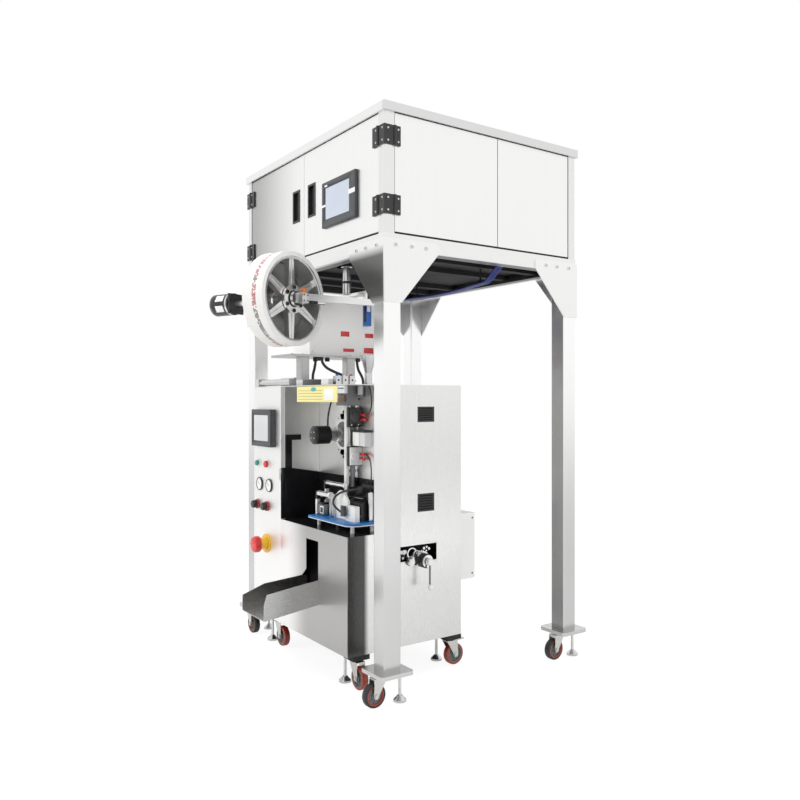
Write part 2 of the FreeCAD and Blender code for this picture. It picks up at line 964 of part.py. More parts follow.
def door_hinges():
    """Black hinges that wrap the front posts, with a barrel at each door edge."""
    hinges = []
    sheet_out = of.hinge_sheet
    inset = of.door_inset
    for side in (1, -1):
        for place_name, low in (("low", of.hinge_low), ("high", of.hinge_high)):
            name = f"{'right' if side > 0 else 'left'}_{place_name}_hinge"
            levels = (beam_top + low, beam_top + low + of.hinge_height)
            reach_x = of.post_width_x + of.hinge_leaf_front
            reach_y = of.post_width_y + of.hinge_leaf_side
            front = box(
                f"{name}_front",
                facing(side, half_x - reach_x, half_x + sheet_out),
                (-half_y - sheet_out, -half_y),
                levels,
            )
            flank = box(
                f"{name}_side",
                facing(side, half_x, half_x + sheet_out),
                (-half_y - sheet_out, -half_y + reach_y),
                levels,
            )
            seam_x = side * (half_x - of.post_width_x)
            seam_y = -half_y + of.post_width_y
            radius = of.hinge_barrel_radius
            barrel_front = rod(f"{name}_pin_front", "Z", (seam_x, -half_y - sheet_out), radius, levels)
            flank_x = side * (half_x + sheet_out)
            barrel_side = rod(f"{name}_pin_side", "Z", (flank_x, seam_y), radius, levels)
            post_x = facing(side, half_x - of.post_width_x - inset, half_x)
            post_y = (-half_y, -half_y + of.post_width_y + inset)
            clear = box(f"{name}_post", post_x, post_y, levels)
            leaves = fuse(f"{name}_leaves", [front, flank, barrel_front, barrel_side])
            hinges.append(cut(f"{name}_body", leaves, [clear]))
    return hinges


def door_handles():
    """Recessed black pulls: a shell with a flange, and a finger bar across it."""
    pulls = []
    outer = front_door_y[0]
    wall = of.handle_wall
    rim = of.handle_flange
    for index, span in enumerate(handle_spans()):
        shell = box(f"pull_{index}_shell", span, (outer, outer + of.handle_depth), handle_levels)
        flange = box(
            f"pull_{index}_flange",
            (span[0] - rim, span[1] + rim),
            (outer - of.door_inset, outer),
            (handle_levels[0] - rim, handle_levels[1] + rim),
        )
        pocket = box(
            f"pull_{index}_pocket",
            (span[0] + wall, span[1] - wall),
            (outer - of.door_inset, outer + of.handle_depth - wall),
            (handle_levels[0] + wall, handle_levels[1] - wall),
        )
        pulls.append(cut(f"pull_{index}", fuse(f"pull_{index}_whole", [shell, flange]), [pocket]))
    return pulls


def screen(name, x, y, z, border):
    """Screen case whose glass lies a little below its front."""
    case = slab(f"{name}_case", "XZ_Plane", [rectangle(x, z)], y)
    soften(case, of.door_round, lambda edge: runs_along(edge, Vector(0, 1, 0)))
    glass = box(
        f"{name}_glass",
        (x[0] + border, x[1] - border),
        (y[0] - of.screen_sink, y[0] + of.screen_sink),
        (z[0] + border, z[1] - border),
    )
    return cut(name, case, [glass])


def touch_screens():
    """One screen on the right front door and one on the control column."""
    right = half_x - of.screen_offset
    low = beam_top + of.screen_low
    door_face = front_door_y[0]
    upper = screen(
        "door_screen",
        (right - of.screen_width, right),
        (door_face - of.screen_depth, door_face),
        (low, low + of.screen_height),
        of.screen_border,
    )
    left = cabinet_left + of.panel_screen_left
    base = cabinet_bottom + of.panel_screen_level
    lower = screen(
        "column_screen",
        (left, left + of.panel_screen_width),
        (cabinet_front - of.panel_screen_depth, cabinet_front),
        (base, base + of.panel_screen_height),
        of.panel_screen_border,
    )
    node(group("screens", [upper, lower]), "touch_screens")


def cabinet_base():
    """Sill tray of the cabinet, with a spacer block and kingpin over each caster."""
    thin = of.cabinet_sheet
    outer = rectangle((cabinet_left + thin, cabinet_right - thin), (recess_front, cabinet_back - thin))
    tray = slab("sill", "XY_Plane", [outer], (cabinet_bottom, cabinet_bottom + of.cabinet_sill))
    front = box(
        "sill_front",
        (column_right, cabinet_right - thin),
        (cabinet_front + thin, recess_front),
        (cabinet_bottom, cabinet_bottom + of.cabinet_sill),
    )
    pieces = [tray, front]
    for name, (x, y) in swivel_spots().items():
        if name.startswith("cabinet"):
            half = of.spacer_side / 2
            levels = (of.caster_height, cabinet_bottom)
            pieces.append(box(f"{name}_spacer", (x - half, x + half), (y - half, y + half), levels))
            pieces += kingpin(name, (x, y))
    node(fuse("sill_and_spacers", pieces), "cabinet_base")


def cabinet_sheets():
    """Folded sheets of the cabinet: shell, right side, top and recess walls."""
    thin = of.cabinet_sheet
    levels = (cabinet_bottom, cabinet_top - thin)
    shell = [
        (cabinet_left, recess_front),
        (cabinet_left + thin, recess_front),
        (cabinet_left + thin, cabinet_back - thin),
        (cabinet_right, cabinet_back - thin),
        (cabinet_right, cabinet_back),
        (cabinet_left, cabinet_back),
    ]
    node(slab("shell", "XY_Plane", [shell], levels), "cabinet_shell")
    side = [
        (cabinet_front + thin, cabinet_bottom),
        (cabinet_back - thin, cabinet_bottom),
        (cabinet_back - thin, cabinet_top - thin),
        (recess_back, cabinet_top - thin),
        (recess_back, counter_top),
        (cabinet_front + thin, counter_top),
    ]
    openings = [rectangle(span, height) for span, height in vent_spans() + [window_span()]]
    across = (cabinet_right - thin, cabinet_right)
    node(slab("right_side", "YZ_Plane", [side] + openings, across), "cabinet_right_panel")
    top = rectangle((cabinet_left, cabinet_right), (cabinet_front, cabinet_back))
    node(slab("top_sheet", "XY_Plane", [top], (cabinet_top - thin, cabinet_top)), "cabinet_top")
    walls = [
        (column_right, recess_front),
        (column_right + thin, recess_front),
        (column_right + thin, recess_back),
        (cabinet_right - thin, recess_back),
        (cabinet_right - thin, recess_back + thin),
        (column_right, recess_back + thin),
    ]
    node(slab("walls", "XY_Plane", [walls], (counter_top, cabinet_top - thin)), "recess_walls")


def vent_spans():
    """Ends along Y and Z of the two vent openings."""
    front = cabinet_front + of.vent_front
    span = (front, front + of.vent_width)
    upper = cabinet_bottom + of.vent_upper_level
    lower = cabinet_bottom + of.vent_lower_level
    return [
        (span, (upper, upper + of.vent_high)),
        (span, (lower, lower + of.vent_low_height)),
    ]


def window_span():
    """Ends along Y and Z of the adjuster's window."""
    front = cabinet_front + of.window_front
    low = cabinet_bottom + of.window_level
    return ((front, front + of.window_width), (low, low + of.window_height))


def side_vents():
    """Black grilles in the vent openings: a frame with level bars."""
    grilles = []
    across = (cabinet_right - of.cabinet_sheet, cabinet_right - of.vent_sink)
    for index, (span, height) in enumerate(vent_spans()):
        pitch = (height[1] - height[0] - of.vent_frame * 2 + of.vent_bar) / of.vent_slots
        holes = []
        for row in range(int(of.vent_slots.number)):
            low = height[0] + of.vent_frame + pitch * row
            ends = (span[0] + of.vent_frame, span[1] - of.vent_frame)
            holes.append(rectangle(ends, (low, low + pitch - of.vent_bar)))
        grilles.append(slab(f"vent_{index}", "YZ_Plane", [rectangle(span, height)] + holes, across))
    node(group("vents", grilles), "side_vents")


def front_panels():
    """Control column door, and the lower front panel with its discharge slot."""
    levels = (cabinet_bottom, cabinet_top - of.cabinet_sheet)
    column = slab(
        "column_door",
        "XZ_Plane",
        [rectangle((cabinet_left, column_right), levels)],
        (cabinet_front, recess_front),
    )
    soften(column, of.door_round, lambda edge: edge.CenterOfMass.y < cabinet_front.number + 1e-3)
    node(column, "control_panel")
    right = cabinet_right - of.slot_right
    left = right - of.slot_width
    base = cabinet_bottom + of.slot_level
    wide = right - of.tray_width
    slot = [
        (right, base),
        (right, base + of.slot_height),
        (left, base + of.slot_height),
        (left, base + of.slot_notch_high),
        (left - of.slot_notch_width, base + of.slot_notch_low),
        (wide, base + of.tray_left_wall + of.tray_sheet),
        (wide, base),
    ]
    face = rectangle((column_right, cabinet_right), (cabinet_bottom, counter_top))
    across = (cabinet_front, cabinet_front + of.cabinet_sheet)
    node(slab("lower_front", "XZ_Plane", [face, slot], across), "lower_front_panel")


def black_counter():
    """Black counter with its back and side cheeks, and the bent stop bracket."""
    thin = of.cabinet_sheet
    left = column_right + thin
    right = cabinet_right - thin
    sheet_in = of.black_sheet
    top = box(
        "counter_top_plate",
        (left, right),
        (cabinet_front + thin, recess_back),
        (counter_top - of.counter_thickness, counter_top),
    )
    back = box(
        "counter_back",
        (left, right),
        (recess_back - sheet_in, recess_back),
        (counter_top, counter_top + of.black_back_height),
    )
    cheek = [
        (recess_front, counter_top),
        (recess_back, counter_top),
        (recess_back, counter_top + of.black_back_height),
        (cabinet_front + of.black_side_front, counter_top + of.black_side_height),
        (recess_front, counter_top + of.black_side_height),
    ]
    side = slab("counter_cheek", "YZ_Plane", [cheek], (left, left + sheet_in))
    low = counter_top + of.black_side_height
    high = low + of.bracket_height
    front = recess_front
    edge = front + of.bracket_width
    arm = [
        (front, low),
        (edge, low),
        (edge, high - of.bracket_arm_height),
        (edge + of.bracket_arm, high - of.bracket_arm_height),
        (edge + of.bracket_arm, high),
        (front, high),
    ]
    bracket = slab("stop_bracket", "YZ_Plane", [arm], (left, left + of.bracket_thickness))
    node(fuse("counter_pieces", [top, back, side, bracket]), "black_counter")


def on_column(left, level):
    """Spot on the control column's face."""
    return (cabinet_left + left, cabinet_bottom + level)


def panel_controls():
    """Push buttons, pressure gauges and regulator knobs in pairs on the column."""
    pieces = []
    for index in range(2):
        spot = on_column(of.button_left + of.button_pitch * index, of.button_level)
        base = cabinet_front
        ends = (base - of.button_ring_length, base)
        ring = rod(f"button_{index}_ring", "Y", spot, of.button_ring_radius, ends)
        cap = rod(f"button_{index}_cap", "Y", spot, of.button_radius, (base - of.button_length, base))
        pieces.append(fuse(f"button_{index}", [ring, cap]))
        spot = on_column(of.gauge_left + of.gauge_pitch * index, of.gauge_level)
        case = rod(f"gauge_{index}_case", "Y", spot, of.gauge_radius, (base - of.gauge_length, base))
        face = base - of.gauge_length
        dial_ends = (face - of.gauge_sink, face + of.gauge_sink)
        dial = rod(f"gauge_{index}_dial", "Y", spot, of.gauge_radius - of.gauge_rim, dial_ends)
        pieces.append(cut(f"gauge_{index}", case, [dial]))
        spot = on_column(of.knob_left + of.knob_pitch * index, of.knob_level)
        ends = (base - of.knob_base_length, base)
        collar = rod(f"knob_{index}_base", "Y", spot, of.knob_base_radius, ends)
        grip = rod(f"knob_{index}_grip", "Y", spot, of.knob_radius, (base - of.knob_length, base))
        pieces.append(fuse(f"knob_{index}", [collar, grip]))
    node(group("controls", pieces), "panel_controls")


def stop_button():
    """Emergency stop: yellow plate and neck with a red mushroom cap."""
    neck = of.stop_plate_length + of.stop_neck_length
    end = neck + of.stop_cap_length
    cap_edge = of.stop_cap_radius - of.stop_cap_round
    profile = [
        (0, 0),
        (of.stop_plate_radius, 0),
        (of.stop_plate_radius, of.stop_plate_length),
        (of.stop_neck_radius, of.stop_plate_length),
        (of.stop_neck_radius, neck),
        (of.stop_cap_radius, neck),
        (of.stop_cap_radius, end - of.stop_cap_round),
        (cap_edge, end),
        (0, end),
    ]
    button = turned("stop_turned", profile)
    x, z = on_column(of.stop_left, of.stop_level)
    node(place(button, (x, cabinet_front, z), Rotation(Vector(1, 0, 0), 90)), "stop_button")


def discharge_tray():
    """Open channel that slopes out of the slot, with cut-back ends on its walls."""
    right = cabinet_right - of.slot_right
    left = right - of.tray_width
    thin = of.tray_sheet
    front = cabinet_front
    end = front - of.tray_reach
    inside = front + of.tray_inside
    floor = cabinet_bottom + of.tray_floor_level
    fall = of.tray_fall / of.tray_reach
    floor_in = floor + fall * of.tray_inside
    floor_end = floor - of.tray_fall
    base = [
        (inside, floor_in - thin),
        (inside, floor_in),
        (end, floor_end),
        (end, floor_end - thin),
    ]
    right_wall = [
        (inside, floor_in - thin),
        (inside, floor + of.tray_wall),
        (front, floor + of.tray_wall),
        (end + of.tray_right_kink, floor + of.tray_wall - of.tray_right_drop),
        (end, floor_end + of.tray_end_height),
        (end, floor_end - thin),
    ]
    left_wall = [
        (inside, floor_in - thin),
        (inside, floor + of.tray_left_wall),
        (front, floor + of.tray_left_wall),
        (end + of.tray_left_kink, floor + of.tray_left_wall - of.tray_left_drop),
        (end, floor_end + of.tray_end_height),
        (end, floor_end - thin),
    ]
    pieces = [
        slab("tray_floor", "YZ_Plane", [base], (left, right)),
        slab("tray_right", "YZ_Plane", [right_wall], (right - thin, right)),
        slab("tray_left", "YZ_Plane", [left_wall], (left, left + thin)),
    ]
    node(fuse("tray", pieces), "discharge_tray")


plate_left = column_right + of.bag_plate_left
plate_right = plate_left + of.bag_plate_width
plate_front = cabinet_front + of.bag_plate_front
plate_back = plate_front + of.bag_plate_depth
plate_base = counter_top + of.bag_post_height
plate_top = plate_base + of.bag_plate_thickness


def bag_plate():
    """Blue base plate of the bag station on four short posts."""
    outline = rectangle((plate_left, plate_right), (plate_front, plate_back))
    plate = slab("blue_plate", "XY_Plane", [outline], (plate_base, plate_top))
    corner = Vector(plate_right.number, plate_front.number, 0)
    soften(plate, of.bag_plate_corner, outer_corner(corner))
    posts = []
    inset = of.bag_post_inset
    for index, (x, y) in enumerate([
        (plate_left + inset, plate_front + inset),
        (plate_right - inset, plate_front + inset),
        (plate_left + inset, plate_back - inset),
        (plate_right - inset, plate_back - inset),
    ]):
        posts.append(rod(f"plate_post_{index}", "Z", (x, y), of.bag_post_radius, (counter_top, plate_base)))
    node(fuse("plate_and_posts", [plate] + posts), "bag_plate")


rear_roller = (tube_y - of.rear_roller_gap, plate_top + of.rear_roller_level)
front_roller = (rear_roller[0] - of.front_roller_gap, plate_top + of.front_roller_level)
cheek_inner = plate_left + of.cheek_thickness


def pull_rollers():
    """Two level rollers on the blue plate: an arched cheek carries both, with a post and a drive."""
    edge = of.cheek_margin
    pieces = []
    for name, spot, radius, length in (
        ("rear", rear_roller, of.rear_roller_radius, of.rear_roller_length),
        ("front", front_roller, of.front_roller_radius, of.front_roller_length),
    ):
        end = cheek_inner + length
        pieces.append(rod(f"{name}_roller_barrel", "X", spot, radius, (cheek_inner, end)))
        shaft = (plate_left, end + of.post_thickness)
        pieces.append(rod(f"{name}_roller_shaft", "X", spot, of.roller_shaft_radius, shaft))
        pieces.append(box(
            f"{name}_roller_post",
            (end, end + of.post_thickness),
            (spot[0] - edge, spot[0] + edge),
            (plate_top, spot[1] + edge),
        ))
    cheek = [
        (front_roller[0] - edge, plate_top),
        (front_roller[0] - edge, front_roller[1] + edge),
        (rear_roller[0] - edge, rear_roller[1] + edge),
        (rear_roller[0] + edge, rear_roller[1] + edge),
        (rear_roller[0] + edge, plate_top),
        (rear_roller[0] - edge / 2, plate_top),
        (rear_roller[0] - edge / 2, plate_top + of.cheek_opening),
        (front_roller[0] + edge / 2, plate_top + of.cheek_opening),
        (front_roller[0] + edge / 2, plate_top),
    ]
    pieces.append(slab("left_cheek", "YZ_Plane", [cheek], (plate_left, cheek_inner)))
    motor_back = rear_roller[0] - edge
    pieces.append(box(
        "roller_motor",
        (cheek_inner, cheek_inner + of.motor_width),
        (motor_back - of.motor_depth, motor_back),
        (plate_top, plate_top + of.motor_height),
    ))
    post = box(
        "end_post",
        (plate_right - of.end_post_gap - of.cheek_thickness, plate_right - of.end_post_gap),
        (tube_y - edge, tube_y + edge),
        (plate_top, plate_top + of.end_post_height),
    )
    node(group("rollers_and_post", [fuse("rollers_and_cheeks", pieces), post]), "pull_rollers")


def film_shoe():
    """White shoe that folds the film in front of the tube, with a block at its right."""
    left = plate_left + of.shoe_left
    right = left + of.shoe_width
    high = plate_top + of.shoe_height
    shoulder = of.shoe_shoulder
    outline = [
        (left, plate_top),
        (right, plate_top),
        (right, high - shoulder),
        (right - shoulder, high),
        (left + shoulder * 2, high),
        (left + shoulder / 2, high - shoulder),
        (left, high - shoulder * 2),
    ]
    back = tube_y - of.shoe_back_gap
    front = back - of.shoe_thickness
    shoe = slab("shoe_plate", "XZ_Plane", [outline], (front, back))
    soften(shoe, of.post_round, runs_between(Vector(0, 1, 0), high))
    block = box(
        "shoe_block",
        (right, right + of.shoe_block_width),
        (back - of.shoe_block_depth, back),
        (plate_top, plate_top + of.shoe_block_height),
    )
    node(fuse("shoe", [shoe, block]), "film_shoe")


def runs_between(axis, level):
    """Pick the edges along an axis at a level."""
    def pick(edge):
        return runs_along(edge, axis) and abs(edge.CenterOfMass.z - level.number) < 1e-3
    return pick


def sealing_jaws():
    """Front and rear sealing jaw blocks on the blue plate, with the film gap between them."""
    x = (plate_left + of.jaw_left, plate_left + of.jaw_left + of.jaw_length)
    high = plate_top + of.jaw_height
    jaws = []
    for name, side in (("front", -1), ("rear", 1)):
        near = tube_y + side * of.jaw_gap / 2
        far = near + side * of.jaw_depth
        profile = [(near, plate_top), (near, high), (far, high - of.jaw_slope), (far, plate_top)]
        jaws.append(slab(f"{name}_jaw", "YZ_Plane", [profile], x))
    node(group("jaws", jaws), "sealing_jaws")


head_low = cabinet_top - of.cabinet_sheet - of.head_block_height


def head_block():
    """Square block under the cabinet top, with the guide rod that it holds behind the tube."""
    half = of.head_block_width / 2
    block = box(
        "head_block_body",
        (tube_x - half, tube_x + half),
        (tube_y - half, recess_back),
        (head_low, head_low + of.head_block_height),
    )
    spot = (tube_x, recess_back - of.guide_back_gap)
    guide = rod("guide_rod", "Z", spot, of.guide_radius, (counter_top + of.guide_bottom, head_low))
    low = counter_top + of.guide_collar_level
    ends = (low, low + of.guide_collar_length)
    collar = rod("guide_collar", "Z", spot, of.guide_collar_radius, ends)
    node(fuse("block_and_guide", [block, guide, collar]), "head_block")


def forming_tube():
    """Forming tube that hangs from the head block."""
    low = counter_top + of.tube_bottom
    bore = of.tube_radius - of.tube_wall
    ring = [(tube_x, tube_y, of.tube_radius), (tube_x, tube_y, bore)]
    node(slab("tube_pipe", "XY_Plane", ring, (low, head_low)), "forming_tube")


def tube_grippers():
    """Film grippers, their fittings and the actuator on the recess wall."""
    pieces = []
    back = recess_back
    left = tube_x + of.gripper_tube_gap
    x = (left, left + of.gripper_width)
    for name, level in (("upper", of.gripper_upper), ("lower", of.gripper_lower)):
        low = counter_top + level
        body = box(f"{name}_gripper_body", x, (back - of.gripper_depth, back), (low, low + of.gripper_height))
        middle = low + of.gripper_height / 2
        cap = rod(
            f"{name}_gripper_cap",
            "X",
            (back - of.gripper_depth + of.gripper_cap_front, middle),
            of.gripper_cap_radius,
            (x[1], x[1] + of.gripper_cap_length),
        )
        fittings = []
        for index in (-1, 1):
            spot = (back - of.fitting_back, middle + index * of.fitting_pitch / 2)
            ends = (x[1], x[1] + of.fitting_length)
            fittings.append(rod(f"{name}_fitting_{index + 1}", "X", spot, of.fitting_radius, ends))
        pieces.append(fuse(f"{name}_gripper", [body, cap] + fittings))
    left = tube_x + of.actuator_tube_gap
    low = counter_top + of.actuator_level
    pieces.append(box(
        "actuator",
        (left, left + of.actuator_width),
        (back - of.actuator_depth, back),
        (low, low + of.actuator_height),
    ))
    node(group("grippers", pieces), "tube_grippers")


def ultrasonic_head():
    """Finned ultrasonic head that points out of the recess from its round mount."""
    disc = of.horn_disc_length
    ring = disc + of.horn_ring_length
    neck = ring + of.horn_neck_length
    end = neck + of.horn_body_length
    profile = [
        (0, 0),
        (of.horn_disc_radius, 0),
        (of.horn_disc_radius, disc),
        (of.horn_ring_radius, disc),
        (of.horn_ring_radius, ring),
        (of.horn_neck_radius, ring),
        (of.horn_neck_radius, neck),
        (of.horn_core_radius, neck),
        (of.horn_core_radius, end),
        (0, end),
    ]
    core = turned("horn_core", profile)
    place(core, (horn_x, recess_back, counter_top + of.horn_level), Rotation(Vector(1, 0, 0), 90))
    fins = []
    count = int(of.horn_fin_count.number)
    pitch = (of.horn_body_length - of.horn_fin_length) / (of.horn_fin_count - 1)
    spot = (horn_x, counter_top + of.horn_level)
    for index in range(count):
        near = recess_back - neck - pitch * index
        fins.append(rod(f"fin_{index}", "Y", spot, of.horn_body_radius, (near - of.horn_fin_length, near)))
    for index in (-1, 1):
        spot = (horn_x, counter_top + of.horn_level + index * of.horn_lobe_reach)
        ends = (recess_back - disc, recess_back)
        fins.append(rod(f"lobe_{index + 1}", "Y", spot, of.horn_lobe_radius, ends))
    node(fuse("horn", [core] + fins), "ultrasonic_head")


def gear_adjuster():
    """Gear, housing and idler behind the side window, bored for the crank's shaft."""
    y = adjuster_y
    z = cabinet_bottom + of.adjuster_level
    inner = cabinet_right - of.cabinet_sheet - of.adjuster_width
    outer = inner + of.adjuster_width
    teeth = int(of.gear_teeth.number)
    root = of.adjuster_radius - of.gear_tooth_depth
    body = doc.addObject("PartDesign::Body", "gear")
    pad(body, "YZ_Plane", [(0, 0, root), (0, 0, shaft_bore)], (0, of.adjuster_width))
    half_tooth = of.gear_tooth_depth / 2
    tooth = rectangle((root - half_tooth, of.adjuster_radius), (-half_tooth, half_tooth))
    first = pad(body, "YZ_Plane", [tooth], (0, of.adjuster_width))
    pattern = body.newObject("PartDesign::PolarPattern", "gear_pattern")
    pattern.Originals = [first]
    axis = next(item for item in body.Origin.OriginFeatures if item.Role == "X_Axis")
    pattern.Axis = (axis, [""])
    pattern.Angle = 360
    pattern.Occurrences = teeth
    body.Tip = pattern
    place(body, (inner, y, z))
    out = cabinet_right + of.adjuster_housing_out
    clear = cabinet_right + of.adjuster_housing_gap
    flange = (clear, clear + of.adjuster_flange_length)
    sleeve_parts = [
        rod("sleeve_neck", "X", (y, z), of.adjuster_neck_radius, (inner, out)),
        rod("sleeve_flange", "X", (y, z), of.adjuster_flange_radius, flange),
        rod("sleeve_housing", "X", (y, z), of.adjuster_housing_radius, (clear, out)),
    ]
    through = (inner - of.adjuster_width, out + of.adjuster_width)
    sleeve_bore = rod("sleeve_bore", "X", (y, z), shaft_bore, through)
    sleeve = cut("sleeve", fuse("sleeve_outer", sleeve_parts), [sleeve_bore])
    idler = rod(
        "idler",
        "X",
        (y - of.idler_offset, z),
        of.idler_radius,
        (inner, cabinet_right + of.adjuster_housing_out / 2),
    )
    link = box(
        "adjuster_link",
        (inner - of.adjuster_width / 2, inner),
        (y - of.idler_offset - of.idler_radius, y + of.adjuster_radius),
        (z - of.idler_radius, z + of.idler_radius),
    )
    hole = rod("link_hole", "X", (y, z), shaft_bore, (inner - of.adjuster_width, out))
    carrier = box(
        "adjuster_carrier",
        (inner - of.adjuster_width, inner - of.adjuster_width / 2),
        (recess_back + of.cabinet_sheet, cabinet_back - of.cabinet_sheet),
        (z - of.idler_radius, z + of.idler_radius),
    )
    carrier_hole = cut("carrier_bored", fuse("carrier_and_link", [carrier, link]), [hole])
    node(fuse("adjuster", [body, sleeve, idler, carrier_hole]), "gear_adjuster")


def crank_handle():
    """Crank: shaft in the adjuster's bore, hub, arm and ball."""
    y = adjuster_y
    z = cabinet_bottom + of.adjuster_level
    inner = cabinet_right - of.cabinet_sheet - of.adjuster_width
    out = cabinet_right + of.adjuster_housing_out
    middle = out + of.crank_hub_length / 2 + of.crank_arm_radius
    hub_end = middle + of.crank_hub_length / 2
    pieces = [
        rod("crank_shaft", "X", (y, z), of.crank_shaft_radius, (inner, hub_end)),
        rod("crank_hub", "X", (y, z), of.crank_hub_radius, (hub_end - of.crank_hub_length, hub_end)),
        rod("crank_arm", "Z", (middle, y), of.crank_arm_radius, (z - of.crank_arm, z)),
        ball("crank_ball", (middle + of.crank_ball_radius / 2, y, z - of.crank_arm), of.crank_ball_radius),
    ]
    node(fuse("crank", pieces), "crank_handle")


def electrical_box():
    """White wiring box on the cabinet's back."""
    right = cabinet_right - of.wiring_right
    low = cabinet_bottom + of.wiring_level
    outline = rectangle((right - of.wiring_width, right), (cabinet_back, cabinet_back + of.wiring_depth))
    case = slab("wiring_case", "XY_Plane", [outline], (low, low + of.wiring_height))
    soften(case, of.wiring_round, upright)
    node(case, "electrical_box")


def on_reel(thing):
    """Place a thing made about the reel's axis, which is its own X axis."""
    thing.Placement = Placement(Vector(), Rotation(Vector(0, 0, 1), 1))
    bind(thing, "Placement.Base.x", reel_x)
    bind(thing, "Placement.Base.y", reel_y)
    bind(thing, "Placement.Base.z", reel_level)
    bind(thing, "Placement.Rotation.Angle", of.reel_angle)
    return thing


def reel():
    """Spoked film wheel on its spindle, with the film roll on its rim."""
    rim_outer = of.film_radius - of.film_depth
    rim_inner = rim_outer - of.rim_depth
    back = -of.film_width
    bore = of.spindle_radius + of.pin_clearance
    hub_front = -of.rim_inset
    hub_back = hub_front - of.reel_hub_length
    wheel = doc.addObject("PartDesign::Body", "wheel")
    pad(wheel, "YZ_Plane", [(0, 0, of.reel_hub_radius), (0, 0, bore)], (hub_back, hub_front))
    flange_back = hub_front - of.reel_flange_length
    pad(wheel, "YZ_Plane", [(0, 0, of.reel_flange_radius), (0, 0, bore)], (flange_back, hub_front))
    spoke_front = -of.spoke_sink
    spoke = [
        (-of.spoke_root / 2, of.reel_hub_radius - of.spindle_radius),
        (of.spoke_root / 2, of.reel_hub_radius - of.spindle_radius),
        (of.spoke_tip / 2, rim_inner + of.rim_depth / 2),
        (-of.spoke_tip / 2, rim_inner + of.rim_depth / 2),
    ]
    first = pad(wheel, "YZ_Plane", [spoke], (spoke_front - of.spoke_thickness, spoke_front))
    pattern = wheel.newObject("PartDesign::PolarPattern", "spoke_pattern")
    pattern.Originals = [first]
    axis = next(item for item in wheel.Origin.OriginFeatures if item.Role == "X_Axis")
    pattern.Axis = (axis, [""])
    pattern.Angle = 360
    pattern.Occurrences = int(of.spoke_count.number)
    wheel.Tip = pattern
    pad(wheel, "YZ_Plane", [(0, 0, rim_outer), (0, 0, rim_inner)], (back + of.rim_inset, -of.rim_inset))
    node(on_reel(wheel), "reel_wheel")
    film = slab("film", "YZ_Plane", [(0, 0, of.film_radius), (0, 0, rim_outer)], (back, 0))
    node(on_reel(film), "film_roll")


def reel_arm():
    """Spindle and clamp of the reel, the bar behind it, and its plate on the control box."""
    front = of.clamp_gap - of.rim_inset
    end = front + of.clamp_disc_length + of.clamp_length
    half = of.clamp_side / 2
    spindle = rod("spindle", "X", (0, 0), of.spindle_radius, (-of.spindle_back, end))
    disc = rod("clamp_disc", "X", (0, 0), of.clamp_disc_radius, (front, front + of.clamp_disc_length))
    clamp = box("clamp", (front + of.clamp_disc_length, end), (-half, half), (-half, half))
    on_spindle = on_reel(fuse("spindle_and_clamp", [spindle, disc, clamp]))
    angle = Size(f"({of.reel_angle.formula} * 1 deg)", math.radians(of.reel_angle.number))
    cosine = Size(f"cos({angle.formula})", math.cos(angle.number))
    sine = Size(f"sin({angle.formula})", math.sin(angle.number))
    along = front + of.clamp_disc_length + of.clamp_length / 2
    bar_x = reel_x + along * cosine
    bar_y = reel_y + along * sine
    level = reel_level + of.arm_rise
    bar_levels = (level - of.arm_height / 2, level + of.arm_height / 2)
    x = (bar_x - of.arm_width / 2, bar_x + of.arm_width / 2)
    bar = box("arm_bar", x, (bar_y, arm_back), bar_levels)
    y = (arm_back - of.arm_block_length, arm_back)
    plate_high = box_top + of.arm_plate_thickness
    block = box("arm_block", x, y, (bar_levels[1], plate_high))
    plate = box("arm_plate", (box_right - of.arm_plate_overlap, x[1]), y, (box_top, plate_high))
    node(fuse("arm", [on_spindle, bar, block, plate]), "reel_arm")


def brake_motor():
    """Round brake on the spindle's far end, with its square flange."""
    back = -of.spindle_back
    plate = box(
        "brake_plate",
        (back, back + of.brake_plate_length),
        (-of.brake_plate_side / 2, of.brake_plate_side / 2),
        (-of.brake_plate_side / 2, of.brake_plate_side / 2),
    )
    case = rod("brake_case", "X", (0, 0), of.brake_radius, (back - of.brake_length, back))
    node(on_reel(fuse("brake", [plate_bored(plate), case])), "brake_motor")


def plate_bored(plate):
    """Brake flange with room for the spindle."""
    back = -of.spindle_back
    hole = rod("brake_bore", "X", (0, 0), of.spindle_radius, (back, back + of.brake_plate_length * 2))
    return cut("brake_flange", plate, [hole])


def control_box():
    """Control box, the smaller box beside it and a blue module."""
    base = shelf_low + of.shelf_thickness
    left = box_right - of.box_depth
    front = box_front
    back = front + of.box_width
    outline = rectangle((left, box_right), (front, back))
    main = slab("main_box", "XY_Plane", [outline], (base, base + of.box_height))
    soften(main, of.box_round, upright)
    side = box(
        "side_box",
        (left, left + of.side_box_depth),
        (back, back + of.side_box_width),
        (base, base + of.side_box_height),
    )
    top = base + of.box_height
    module = box(
        "blue_module",
        (box_right - of.module_depth, box_right),
        (back, back + of.module_width),
        (top - of.module_height, top),
    )
    node(fuse("boxes", [main, side, module]), "control_box")


